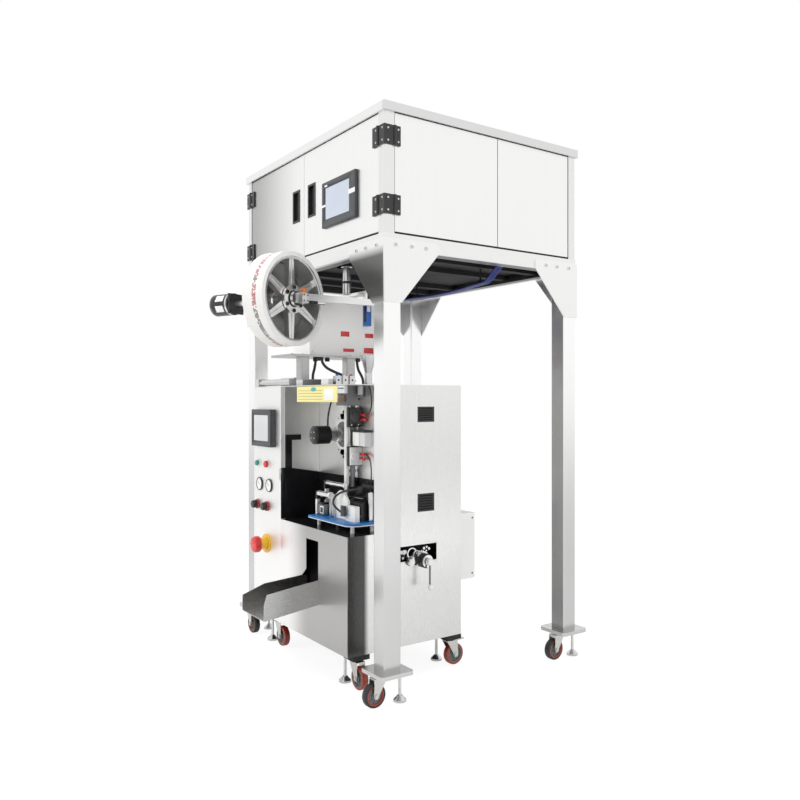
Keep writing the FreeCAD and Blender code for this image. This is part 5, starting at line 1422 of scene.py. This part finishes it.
@dataclass
class ColumnControls(Assembly):
    """Buttons, gauges, knobs and the emergency stop on the column."""

    face: float = -547.0
    left: float = -460.5
    base: float = 140.0
    button_row: float = 708.0
    gauge_row: float = 611.0
    knob_row: float = 513.0
    stop_spot: tuple[float, float] = (143.0, 340.0)

    def build(self) -> None:
        """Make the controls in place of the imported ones."""
        kit = self.kit
        for index, tone in enumerate(("green_plastic", "red_plastic")):
            self._button(self._spot(49 + 100 * index, self.button_row), tone, 12.5 * (1 + 0.25 * index))
            self._gauge(self._spot(69 + 102 * index, self.gauge_row))
            self._knob(self._spot(44 + 105 * index, self.knob_row))
        kit.done("column_controls", "control_plastic", stands_for=("panel_controls",))
        self._stop(self._spot(*self.stop_spot))
        kit.done("stop_mushroom", "control_plastic", stands_for=("stop_button",))

    def _spot(self, left: float, level: float) -> Point:
        """Point on the column's face."""
        return (self.left + left, self.face, self.base + level)

    def _turned(self, at: Point, profile: Profile, finish: str) -> None:
        """Turned part that stands out of the face."""
        self.kit.spun(at, Axis.Y, [(radius, -out) for radius, out in profile], finish, 40)

    def _button(self, at: Point, tone: str, radius: float) -> None:
        """Push button with a bright collar.

        Args:
            at: Middle of the control on the column's face.
            tone: Finish of the cap.
            radius: Radius of the cap.
        """
        collar = [(0.0, 0.0), (19.5, 0.0), (19.5, 3.0), (17.5, 4.0), (0.0, 4.0)]
        cap = [
            (0.0, 4.0), (radius, 4.0), (radius, 12.5),
            (radius * 0.9, 15.0), (radius * 0.5, 16.0), (0.0, 16.0),
        ]
        self._turned(at, collar, "satin_chrome")
        self._turned(at, cap, tone)

    def _gauge(self, at: Point) -> None:
        """Pressure gauge: black rim, white dial, ticks and a needle.

        Args:
            at: Middle of the control on the column's face.
        """
        kit = self.kit
        rim = [
            (0.0, 0.0), (29.0, 0.0), (31.0, 2.0), (31.0, 5.8),
            (29.8, 7.0), (27.0, 7.0), (26.6, 5.0), (0.0, 5.0),
        ]
        dial = [(0.0, 5.0), (26.6, 5.0), (26.6, 5.6), (0.0, 5.6)]
        pivot = [(0.0, 5.5), (3.2, 5.5), (2.8, 7.4), (0.0, 7.6)]
        self._turned(at, rim, "black_plastic")
        self._turned(at, dial, "white_paint")
        tick = Bench.block("tick", mm(-0.6, -6.0, 19.0), mm(0.6, -5.4, 24.5), 0.0001, 1)
        kit.repeat(tick, turned(at, Axis.Y, 11, -135.0, 27.0), "black_plastic")
        needle = Bench.block("needle", mm(-0.8, -6.6, -6.0), mm(0.8, -5.8, 19.0), 0.0003, 1)
        kit.repeat(needle, turned(at, Axis.Y, 1, -48.0), "black_plastic")
        self._turned(at, pivot, "satin_chrome")

    def _knob(self, at: Point) -> None:
        """Regulator knob: red collar and a fluted black grip.

        Args:
            at: Middle of the control on the column's face.
        """
        kit = self.kit
        collar = [(0.0, 0.0), (22.5, 0.0), (23.0, 2.0), (23.0, 8.0), (21.0, 10.0), (0.0, 10.0)]
        grip = [(0.0, 10.0), (16.0, 10.0), (17.2, 13.0), (17.2, 27.0), (15.5, 30.0), (0.0, 30.5)]
        self._turned(at, collar, "dark_red_plastic")
        self._turned(at, grip, "black_plastic")
        rib = Bench.block("rib", mm(-1.1, -27.0, 16.5), mm(1.1, -13.0, 18.0), 0.0004, 1)
        kit.repeat(rib, turned(at, Axis.Y, 18), "black_plastic")

    def _stop(self, at: Point) -> None:
        """Emergency stop: yellow plate and neck, red mushroom cap.

        Args:
            at: Middle of the control on the column's face.
        """
        kit = self.kit
        plate = [(0.0, 0.0), (43.5, 0.0), (44.0, 2.0), (43.0, 8.0), (30.0, 8.5), (0.0, 8.5)]
        neck = [
            (0.0, 8.5), (29.0, 8.5), (29.5, 12.0), (27.5, 19.0), (27.5, 27.0), (29.5, 39.0), (29.5, 41.0),
            (0.0, 41.0),
        ]
        cap = [
            (0.0, 41.0), (34.5, 41.0), (37.5, 44.0), (38.0, 54.0), (37.0, 62.0), (33.0, 69.0), (24.0, 71.5),
            (12.0, 72.0), (0.0, 72.0),
        ]
        self._turned(at, plate, "yellow_plastic")
        self._turned(at, neck, "yellow_plastic")
        self._turned(at, cap, "red_plastic")
        arrow = Bench.block("arrow", mm(-1.2, -72.4, 12.0), mm(1.2, -71.0, 26.0), 0.0004, 1)
        kit.repeat(arrow, turned(at, Axis.Y, 3, 40.0), "maroon_plate")


@dataclass
class Wheels(Assembly):
    """Caster wheels: tread, ring and bearing hub, one for each packed wheel."""

    half: float = 13.5
    ribs: int = 8

    def build(self) -> None:
        """Model each kind of wheel once, and copy it to every caster."""
        shop = self.kit.shop
        kinds = {
            "frame": self._wheel("tread_black", "tread_red"),
            "cabinet": self._wheel("tread_red", "wheel_core"),
        }
        for (group, kind), end, side in product(kinds.items(), ("front", "rear"), ("right", "left")):
            caster = f"{group}_{end}_{side}"
            node = f"wheel_{caster}"
            low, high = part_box(node)
            along_y = high.x - low.x < high.y - low.y
            turn = Matrix.Rotation(math.radians(90 if along_y else 0), 4, "Z")
            piece = Bench.copy(kind, f"{node}_dressed", Matrix.Translation((low + high) / 2) @ turn)
            shop.add(piece, "wheel_rubber", f"roller_{caster}", (node,))
            shop.paint({f"fork_{caster}": "zinc_plate"})
        for kind in kinds.values():
            bpy.data.objects.remove(kind)

    def _wheel(self, tread_finish: str, ring_finish: str) -> bpy.types.Object:
        """One wheel about the origin, with its axle along Y.

        Args:
            tread_finish: Finish of the tread.
            ring_finish: Finish of the ring inside it.

        Returns:
            The wheel.
        """
        half = self.half
        tread = [
            (36.5, -half), (42.5, -half), (44.8, -half + 2), (45.8, -half + 5),
            (45.8, half - 5), (44.8, half - 2), (42.5, half), (36.5, half),
        ]
        ring = [(31.0, -11.5), (36.6, -13.0), (36.6, 13.0), (31.0, 11.5)]
        web = [(12.0, -8.5), (31.1, -7.5), (31.1, 7.5), (12.0, 8.5)]
        hub = [(5.3, -15.0), (13.5, -15.0), (14.8, -13.5), (14.8, 13.5), (13.5, 15.0), (5.3, 15.0)]
        kit = self.kit
        for profile, finish, steps in (
            (tread, tread_finish, 64),
            (ring, ring_finish, 56),
            (web, "wheel_core", 48),
            (hub, "dark_alloy", 40),
        ):
            kit.spun((0.0, 0.0, 0.0), Axis.Y, profile, finish, steps)
        for side in (-1, 1):
            rib = Bench.block("rib", mm(14.6, 6.0 * side, -1.1), mm(30.6, 10.5 * side, 1.1), 0.0006, 1)
            kit.repeat(rib, turned((0.0, 0.0, 0.0), Axis.Y, self.ribs, 10.0), "wheel_core")
        return kit.joined("wheel")


@dataclass
class BagStation(Assembly):
    """Rollers, shoe, jaws, grippers, horn and tube over the blue plate."""

    wall: float = -350.0
    front: float = -545.0
    gripper_x: float = 178.0
    horn: tuple[float, float] = (60.0, 995.0)

    def build(self) -> None:
        """Make the station's pieces and dress the plain nodes."""
        self.kit.shop.paint({
            "bag_plate": "blue_plate_paint",
            "forming_tube": "white_plastic",
            "sealing_jaws": "black_plastic",
            "head_block": "dark_alloy",
            "film_shoe": "white_plastic",
        })
        self._rollers()
        self._grippers()
        self._horn()
        kit = self.kit
        self._label()
        self._top_edge()
        self._wall_parts()
        self._plate_parts()
        self._leads()
        kit.done("station_trim", "black_plastic")

    def _rollers(self) -> None:
        """Roller pair on its holders, with the drive and the end post."""
        kit = self.kit
        low, high = (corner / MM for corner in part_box("pull_rollers"))
        left, base = low.x, low.z
        for y, z, radius, length in ((-430.0, 785.0, 10.0, 164.0), (-470.0, 742.0, 13.0, 109.0)):
            end = left + 12 + length
            barrel = [
                (0.0, 0.0), (radius - 2, 0.0), (radius - 2, 3.0), (radius, 4.0), (radius, length - 14),
                (radius - 1.5, length - 12), (radius - 1.5, length), (0.0, length),
            ]
            kit.spun((left + 12, y, z), Axis.X, barrel, "chrome")
            kit.ring((end - 11, y, z), Axis.X, (radius - 1.6, radius + 1.5), 9, "white_plastic")
            kit.rod((left + 1, y, z), Axis.X, 5, length + 18, "satin_chrome")
            kit.block((end, y - 11, base), (end + 8, y + 11, z + 11), "satin_chrome", 3)
            kit.block((left, y - 11, z - 26), (left + 12, y + 11, z + 11), "black_plastic", 3)
            kit.screw((left, y, z), Axis.X, -1.5, 5)
        kit.block((left, -481, base), (left + 12, -464, base + 66), "white_plastic", 1.5)
        kit.block((left, -436, base), (left + 12, -419, base + 108), "white_plastic", 1.5)
        kit.block((left + 1, -465, base + 60), (left + 11, -435, base + 76), "black_plastic", 1.5)
        kit.block((left + 12, -480, base), (left + 72, -443, base + 46), "dark_alloy", 3)
        kit.block((left + 40, -481, base + 8), (left + 70, -479, base + 40), "white_plastic", 1)
        kit.block((left + 45, -481.6, base + 13), (left + 66, -480, base + 35), "black_plastic", 0.6)
        kit.block((left + 14, -478, base + 45), (left + 54, -445, base + 54), "black_plastic", 2)
        for x in (left + 18, left + 66):
            kit.screw((x, -480, base + 8), Axis.Y, -2, 3)
        kit.block((high.x - 12, -412, base), (high.x, -388, high.z - 27), "satin_chrome", 1.5)
        kit.screw((high.x - 6, -400, high.z - 27), Axis.Z, 2.4, 4)
        kit.done("roller_station", "bright_steel", stands_for=("pull_rollers",))

    def _grippers(self) -> None:
        """Two film grippers with fittings, and the actuator between them."""
        kit = self.kit
        wall = self.wall
        near, mid, far = self.gripper_x, self.gripper_x + 14, self.gripper_x + 28
        dish = [(0.0, 0.0), (20.0, 0.0), (20.0, 6.0), (18.0, 8.5), (8.0, 9.0), (0.0, 9.0)]
        fitting = [(0.0, 0.0), (6.0, 0.0), (6.0, 20.0), (7.0, 21.0), (7.0, 26.0), (4.0, 28.0), (0.0, 28.0)]
        for low, cap, cover in (
            (1031.0, "screen_case", "black_plastic"),
            (866.0, "pale_grey_paint", "pale_grey_paint"),
        ):
            kit.block((near, -412, low), (mid, wall, low + 84), "black_plastic", 2)
            kit.block((mid, -408, low + 4), (far, wall, low + 80), cover, 3)
            kit.spun((far, -388, low + 42), Axis.X, dish, cap)
            for z in (low + 32, low + 52):
                kit.rod((far, -364, z), Axis.X, 5.5, 14, "satin_chrome")
                kit.spun((far + 12, -364, z), Axis.X, fitting, "red_plastic")
            for y in (-405, -372):
                kit.screw((far, y, low + 10), Axis.X, 2, 3)
        kit.block((172, -388, 952), (186, wall, 1010), "black_plastic", 1.5)
        kit.block((186, -388, 952), (236, wall, 1010), "white_plastic", 2)
        kit.block((236, -386, 952), (279, wall, 1010), "pale_grey_paint", 2)
        kit.block((174, -387, 1009), (277, wall, 1020), "black_plastic", 2)
        kit.block((176, -388.4, 966), (182, -386, 1000), "black_gasket", 0.4)
        kit.done("gripper_set", "black_plastic", stands_for=("tube_grippers",))

    def _horn(self) -> None:
        """Finned sealing head, its neck and the pale discs on the wall."""
        kit = self.kit
        (x, z), wall = self.horn, self.wall
        for up in (88, -88):
            kit.rod((x, wall - 8, z + up), Axis.Y, 30, 8, "recess_steel")
            kit.rod((x, wall - 9.5, z + up * 1.12), Axis.Y, 7, 3, "black_plastic")
        kit.rod((x, wall - 8, z), Axis.Y, 93, 8, "recess_steel")
        kit.ring((x, wall - 13, z), Axis.Y, (56, 66), 5.2, "white_plastic")
        kit.rod((x, wall - 11.5, z), Axis.Y, 55, 4, "dark_alloy")
        neck = [
            (0.0, 0.0), (31.0, 0.0), (33.0, -3.0), (33.0, -34.0), (27.0, -37.0), (27.0, -72.0), (0.0, -72.0),
        ]
        kit.spun((x, wall - 12, z), Axis.Y, neck, "zinc_plate")
        fins = [(0.0, 0.0), (30.0, 0.0)]
        for index in range(9):
            back = -2.0 - index * 8.2
            fins += [(31.0, back), (39.0, back - 0.6), (39.0, back - 3.4), (31.0, back - 4.0)]
        fins += [(31.0, -75.0), (26.0, -78.0), (0.0, -78.0)]
        kit.spun((x, wall - 84, z), Axis.Y, fins, "black_plastic")
        for spot in circle((x, wall - 162, z), Axis.Y, 18, 4, 45.0):
            kit.screw(spot, Axis.Y, -0.2, 3.2)
        for spot in circle((x, wall - 8, z), Axis.Y, 80, 6):
            kit.screw(spot, Axis.Y, -2.4, 4)
        kit.done("horn_head", "black_metal", stands_for=("ultrasonic_head",))

    def _label(self) -> None:
        """Yellow plate over the recess, with an oval, a blank field and four plain lines."""
        kit = self.kit
        front = self.front
        kit.block((-18.5, front - 0.5, 1137), (328.5, front + 1.5, 1203), "yellow_label", 0.6)
        oval = kit.rod((0, front - 0.8, 0), Axis.Y, 9, 1, "teal_paint")
        oval.data.transform(Matrix.Translation(mm(131, 0, 1190)) @ Matrix.Diagonal((2.6, 1, 1, 1)))
        kit.block((222, front - 1, 1145), (296, front, 1192), "white_paint", 0.3)
        for row in range(4):
            low = 1148 + 12 * row
            kit.block((-8, front - 0.9, low), (206, front - 0.2, low + 1.6), "dark_alloy", 0.2)
        kit.block((331, front - 1, 1172), (384, front + 13, 1203), "pale_grey_paint", 1)
        kit.block((334, front - 1, 1138), (381, front + 11, 1166), "brown_plastic", 1)
        kit.block((336, front - 3, 1190), (379, front, 1194), "black_plastic", 0.6)

    def _top_edge(self) -> None:
        """Small blocks along the front edge of the cabinet's top, and the recess's hinge."""
        kit = self.kit
        front = self.front
        kit.block((-175.4, front - 1, 613), (-172.4, front + 26, 840), "black_sheet", 0.3)
        kit.block((34, front, 1208.2), (193, front + 25, 1231), "black_plastic", 1)
        for start, stop, top, finish in (
            (-98, -29, 1240, "dark_chrome"),
            (-28, 33, 1233, "satin_chrome"),
            (194, 254, 1232, "pale_grey_paint"),
        ):
            kit.block((start, front, 1208.2), (stop, front + 23, top), finish, 2)
        kit.block((-176, front - 6, 785), (-168, front - 2, 838), "satin_chrome", 0.8)
        kit.rod((-174.5, front - 6.5, 786), Axis.Z, 3, 51, "chrome")

    def _wall_parts(self) -> None:
        """Knob, screws and blocks at the head block."""
        kit = self.kit
        knob = [(0.0, 0.0), (9.0, 0.0), (9.0, -8.0), (6.0, -11.0), (0.0, -11.0)]
        kit.spun((157.5, -432, 1160), Axis.Y, knob, "white_plastic")
        for y in (-424, -358):
            kit.screw((189.5, y, 1150), Axis.X, 2.4, 5, "black_plastic")
        kit.block((200, -372, 1168), (232, self.wall, 1204), "pale_grey_paint", 1)
        kit.block((234, -366, 1160), (256, self.wall, 1204), "dark_chrome", 1)

    def _plate_parts(self) -> None:
        """Screws, link and small plates round the film shoe."""
        kit = self.kit
        for x, (y, out) in product((232, 256, 296, 320), ((-434, -2.4), (-366, 2.4))):
            kit.screw((x, y, 672), Axis.Y, out, 4)
        kit.block((224, -432, 743), (327, -410, 747), "dark_chrome", 1)
        for x in (140, 232):
            kit.rod((x, -456, 700), Axis.Y, 6, 1.5, "pale_grey_paint")
            kit.rod((x, -459, 700), Axis.Y, 4, 4, "satin_chrome")
        kit.block((270, -470, 676), (300, -467.5, 706), "pale_grey_paint", 1)
        kit.block((252, -486, 671), (282, -478, 714), "black_plastic", 1)

    def _leads(self) -> None:
        """Loop in front of the film shoe, and the leads from the grippers' fittings."""
        kit = self.kit
        kit.hose([
            (326, -424, 783), (264, -448, 777), (204, -470, 758),
            (186, -486, 726), (206, -488, 701), (250, -480, 685),
        ], 4.4, "rubber")
        kit.hose([
            (252, -364, 918), (275, -366, 914), (292, -362, 880), (290, -360, 800), (284, -368, 740),
        ], 2.6, "rubber")
        kit.hose([
            (252, -364, 1083), (280, -366, 1084), (296, -362, 1120), (290, -360, 1170), (276, -360, 1204),
        ], 2.6, "rubber")


@dataclass
class FilmReel(Assembly):
    """Spoked wheel, printed film, spindle clamp, arm and brake."""

    blades: int = 6
    rim_faces: tuple[float, float] = (-3.0, -101.0)
    bolt_circle: float = 47.0
    plate_turn: float = 28.0

    def build(self) -> None:
        """Dress the reel and add its small parts."""
        self.kit.shop.paint({
            "reel_wheel": "pale_steel",
            "film_roll": "printed_film",
            "reel_arm": "pale_steel",
            "brake_motor": "black_plastic",
        })
        self._on_wheel()
        self._on_arm()

    def _put(self, made: bpy.types.Object, spot: Point, finish: str) -> None:
        """Move a part made about the origin to a spot in the reel's own axes.

        Args:
            made: The part.
            spot: Place along, across and above the reel's axis.
            finish: The part's finish.
        """
        turn = Matrix.Rotation(math.radians(REEL_TURN), 4, "Z")
        made.data.transform(Matrix.Translation(mm(*REEL_HUB)) @ turn @ Matrix.Translation(mm(*spot)))
        self.kit.take(made, finish)

    def _turned(self, along: float, profile: Profile, finish: str) -> None:
        """Turned part about the reel's axis."""
        made = Bench.spun("reel", (0.0, 0.0, 0.0), Axis.X, [mm(*pair) for pair in profile], 72)
        self._put(made, (along, 0.0, 0.0), finish)

    def _on_wheel(self) -> None:
        """Rim rings, hub bolts, hub cap ring and blade ribs, which turn with the film."""
        kit = self.kit
        front, rear = self.rim_faces
        ring = [
            (161.5, -1.0), (172.0, -1.0), (173.5, 0.0), (173.5, 2.0),
            (171.0, 2.6), (163.0, 2.6), (161.5, 1.6),
        ]
        lip = [(16.0, -1.0), (34.0, -1.0), (34.0, 1.2), (33.0, 2.0), (16.0, 2.0)]
        dish = [(35.0, 0.0), (158.0, 0.0), (161.5, 6.0), (161.5, 10.0), (156.0, 3.0), (35.0, 3.0)]
        self._turned(front, ring, "satin_chrome")
        self._turned(rear, [(radius, -height) for radius, height in ring], "satin_chrome")
        self._turned(front, lip, "black_plastic")
        self._turned(rear + 4.0, dish, "dish_steel")
        for spot in circle((front, 0.0, 0.0), Axis.X, self.bolt_circle, self.blades, 30.0):
            self._put(Bench.screw("bolt", Axis.X, 0.0085, 0.005), spot, "black_plastic")
        for index in range(self.blades):
            rib = Bench.block("rib", mm(-1.0, -2.2, 60), mm(3.0, 2.2, 156), 0.0012)
            rib.data.transform(Matrix.Rotation(math.tau * index / self.blades, 4, "X"))
            self._put(rib, (-17.0, 0.0, 0.0), "satin_chrome")
        kit.done("reel_trim", "brushed_steel", "reel")

    def _on_arm(self) -> None:
        """Clamp screws, orange tag, guide bar, sensor rod and brake plates, which stay still."""
        kit = self.kit
        self._put(Bench.block("face", mm(0, -16, -16), mm(2, 16, 16)), (56.5, 0, 0), "pale_grey_paint")
        for side, up in product((-11, 11), (-11, 11)):
            self._put(Bench.screw("bolt", Axis.X, 0.0034, 0.0022), (58.5, side, up), "black_plastic")
        tag = Bench.block("tag", mm(-10, -9, -3), mm(10, 9, 16), 0.003)
        self._put(tag, (46, 0, 21), "orange_plastic")
        collar = [(10.5, 0.0), (28.0, 0.0), (29.0, 1.0), (29.0, 4.0), (10.5, 4.0)]
        self._turned(13.0, collar, "black_plastic")
        kit.rod((236, -616, 1540), Axis.Y, 9, 30, "black_plastic")
        kit.rod((236, -586, 1540), Axis.Y, 9.5, 33, "chrome")
        kit.block((225, -352, 1570), (251, -326, 1600), "black_plastic", 2)
        brake = [(20.0, 0.0), (46.0, 0.0), (46.5, -3.0), (46.5, -8.0), (44.0, -9.0), (20.0, -9.0)]
        self._turned(-339.0, brake, "satin_chrome")
        self._turned(-425.0, brake, "dark_chrome")
        for side in (-1, 1):
            angle = math.radians(self.plate_turn * side)
            plate = Bench.block("plate", mm(-22, -1.2, -14), mm(22, 1.2, 14), 0.0006)
            plate.data.transform(Matrix.Rotation(angle, 4, "X"))
            spot = (-378, -46.4 * math.cos(angle), -46.4 * math.sin(angle))
            self._put(plate, spot, "white_paint")
        kit.done("arm_trim", "bright_steel")


@dataclass
class ControlBox(Assembly):
    """Control box on its shelf, with plates, module, bolts, cables and the small valves."""

    right: float = 12.5
    step: float = -19.5
    tube: tuple[float, float] = (157.5, -400.0)
    funnel: tuple[float, float] = (157.5, -290.0)
    right_plates: tuple[Span, ...] = ((-345.0, -300.0, 1429.0, 1452.0), (-332.0, -275.0, 1361.0, 1376.0))
    step_plates: tuple[Span, ...] = ((-196.0, -151.0, 1431.0, 1451.0), (-202.0, -151.0, 1360.0, 1385.0))
    shelf_top: float = 1343.0
    cover_y: tuple[float, float] = (-494.0, -236.0)
    cover_z: tuple[float, float] = (1352.0, 1584.0)
    cover_inset: float = 6.0

    def build(self) -> None:
        """Dress the box and stand and add what is on them."""
        self.kit.shop.paint({
            "control_box": "box_paint",
            "box_stand": "plate_steel",
            "feed_funnel": "satin_chrome",
            "air_cylinder": "satin_chrome",
            "weigher_outlet": "satin_chrome",
            "hoses": "cord_rubber",
        })
        self._box_parts()
        self._feed_parts()

    def _box_parts(self) -> None:
        """Red plates, blue module, cover, bolts and cable glands."""
        kit = self.kit
        face = self.right
        for x, plates in ((self.right, self.right_plates), (self.step, self.step_plates)):
            for near, far, low, top in plates:
                kit.block((x - 0.2, near, low), (x + 1.2, far, top), "red_plastic", 0.4)
        kit.block((face - 34.4, -228, 1482.6), (face + 0.6, -181.6, 1593.4), "blue_plastic", 2)
        kit.block((face + 0.2, -222, 1500), (face + 1.4, -210, 1580), "black_plastic", 0.4)
        kit.block((face + 0.2, -206, 1548), (face + 1.2, -188, 1580), "white_plastic", 0.4)
        (near, far), (low, top), inset = self.cover_y, self.cover_z, self.cover_inset
        kit.block((face - 0.2, near, low), (face + 0.9, far, top), "box_paint", 0.8)
        for y, z in product((near + inset, far - inset), (low + inset, top - inset)):
            kit.screw((face + 0.9, y, z), Axis.X, 1.8, 3.4)
        for y in (-590, -540, -300, -130):
            kit.screw((22, y, self.shelf_top), Axis.Z, 3.0, 6)
        for x, y in ((-45.5, -440), (-45.5, -380), (4.5, -448), (4.5, -250)):
            kit.ring((x, y, 1318), Axis.Z, (6.2, 11), 15, "black_plastic")
        kit.done("control_box_trim", "grey_paint")

    def _feed_parts(self) -> None:
        """Buttons on the cylinder, and rings on the funnel and the outlet."""
        kit = self.kit
        x, y = self.tube
        for index, tone in enumerate(("blue_plastic", "satin_chrome", "red_plastic")):
            near = y + 34 * (index - 1) - 13
            kit.rod((x, near, 1247), Axis.Z, 7, 8, tone)
            kit.screw((x + 13, near, 1230), Axis.X, 2, 4, "black_plastic")
        kit.ring((*self.funnel, 1338), Axis.Z, (33, 38), 3, "chrome")
        kit.ring((*self.funnel, 1208), Axis.Z, (16.5, 30), 6, "dark_alloy")
        for spot in circle((*self.funnel, 1213.5), Axis.Z, 23.5, 4, 45.0):
            kit.screw(spot, Axis.Z, 2, 3.2, "black_plastic")
        kit.ring((x, y, 1640), Axis.Z, (17.0, 19.5), 10, "black_plastic")
        kit.ring((x, y, 1594), Axis.Z, (17.0, 19.0), 4, "chrome")
        kit.ring((x, y, 1710), Axis.Z, (24.0, 46.4), 11, "black_plastic")
        kit.done("feed_trim", "bright_steel")


@dataclass
class CrankDrive(Assembly):
    """Gear and sleeve in the side window and the crank that turns them."""

    y: float = -185.0
    z: float = 482.0
    ridges: int = 30
    ball_radius: float = 12.0

    def build(self) -> None:
        """Dress the adjuster and make the crank."""
        self.kit.shop.paint({"gear_adjuster": "chrome"})
        kit = self.kit
        self._window()
        self._gear()
        kit.done("adjuster_trim", "bright_steel")
        self._crank()

    def _window(self) -> None:
        """Strips that narrow the window, and the small parts that show in it."""
        kit = self.kit
        strips = (
            ((-301, -107), (546, 558)),
            ((-301, self.y - 22), (463, 484)),
            ((self.y + 22, -107), (463, 476)),
        )
        for (near, far), (low, top) in strips:
            kit.block((404.6, near, low), (407.4, far, top), "cabinet_steel", 0.3)
        kit.ring((392, -232, 512), Axis.X, (19, 25), 10, "chrome")
        kit.ring((396, -214, 508), Axis.X, (13, 18), 14, "satin_chrome")
        kit.rod((388, -298, 520), Axis.Y, 13, 40, "satin_chrome")
        kit.ring((388, -276, 520), Axis.Y, (12.5, 16), 8, "chrome")
        kit.block((398, -236, 478), (410, -206, 500), "white_plastic", 3)
        kit.block((406, -226, 464), (414, -214, 512), "black_plastic", 2)
        for y, z, radius in ((-178, 530, 6), (-164, 534, 5), (-152, 526, 6), (-166, 519, 4)):
            kit.rod((396, y, z), Axis.X, radius, 16, "chrome")

    def _gear(self) -> None:
        """Ridged grip, sleeve cap and bolts on the adjuster."""
        kit = self.kit
        y, z = self.y, self.z
        grip = [(15.2, 0.0), (27.0, 0.0), (28.5, 2.0), (28.5, 26.0), (27.0, 28.0), (24.0, 30.0), (15.2, 30.0)]
        kit.spun((417.0, y, z), Axis.X, grip, "black_plastic")
        ridge = Bench.block("ridge", mm(420, -1.2, 27.6), mm(442, 1.2, 29.6), 0.0004, 1)
        kit.repeat(ridge, turned((0.0, y, z), Axis.X, self.ridges), "black_plastic")
        kit.rod((427.5, y - 66, z), Axis.X, 12, 3, "white_plastic")
        kit.ring((409, y - 66, z), Axis.X, (14.6, 17), 8, "dark_chrome")
        for spot in circle((382.5, y, z), Axis.X, 27, 4, 45.0):
            kit.screw(spot, Axis.X, 2, 3.2, "black_plastic")

    def _crank(self) -> None:
        """Shaft, hub, arm and ball, which turn together."""
        kit = self.kit
        y, z = self.y, self.z
        hub = [(0.0, 0.0), (13.5, 0.0), (15.0, 1.5), (15.0, 14.0), (13.0, 16.0), (0.0, 16.0)]
        angles = [math.radians(-90 + 15 * index) for index in range(13)]
        ball = [(self.ball_radius * math.cos(angle), self.ball_radius * math.sin(angle)) for angle in angles]
        kit.rod((379, y, z), Axis.X, 8, 74, "chrome")
        kit.spun((451.5, y, z), Axis.X, hub, "satin_chrome")
        kit.rod((467.0, y, z), Axis.X, 12.4, 2.5, "white_plastic")
        kit.rod((460.5, y, z - 96), Axis.Z, 4, 92, "dark_chrome")
        kit.spun((466.5, y, z - 103), Axis.Z, ball, "white_plastic")
        kit.done("crank_dressed", "bright_steel", "crank", ("crank_handle",))


def main() -> None:
    """Load the frame, dress it and light it."""
    logging.basicConfig(level=logging.INFO, format="%(message)s")
    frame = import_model()
    Studio().build()
    shop = Shop(frame)
    kit = Kit(shop)
    for assembly in (
        LegFrame, WeigherHousing, TouchScreens, Cabinet, ColumnControls,
        Wheels, BagStation, FilmReel, ControlBox, CrankDrive,
    ):
        assembly(kit).build()
    LOG.info("%d pieces added to %d nodes", shop.count, len(frame["nodes"]))


if __name__ == "__main__":
    main()
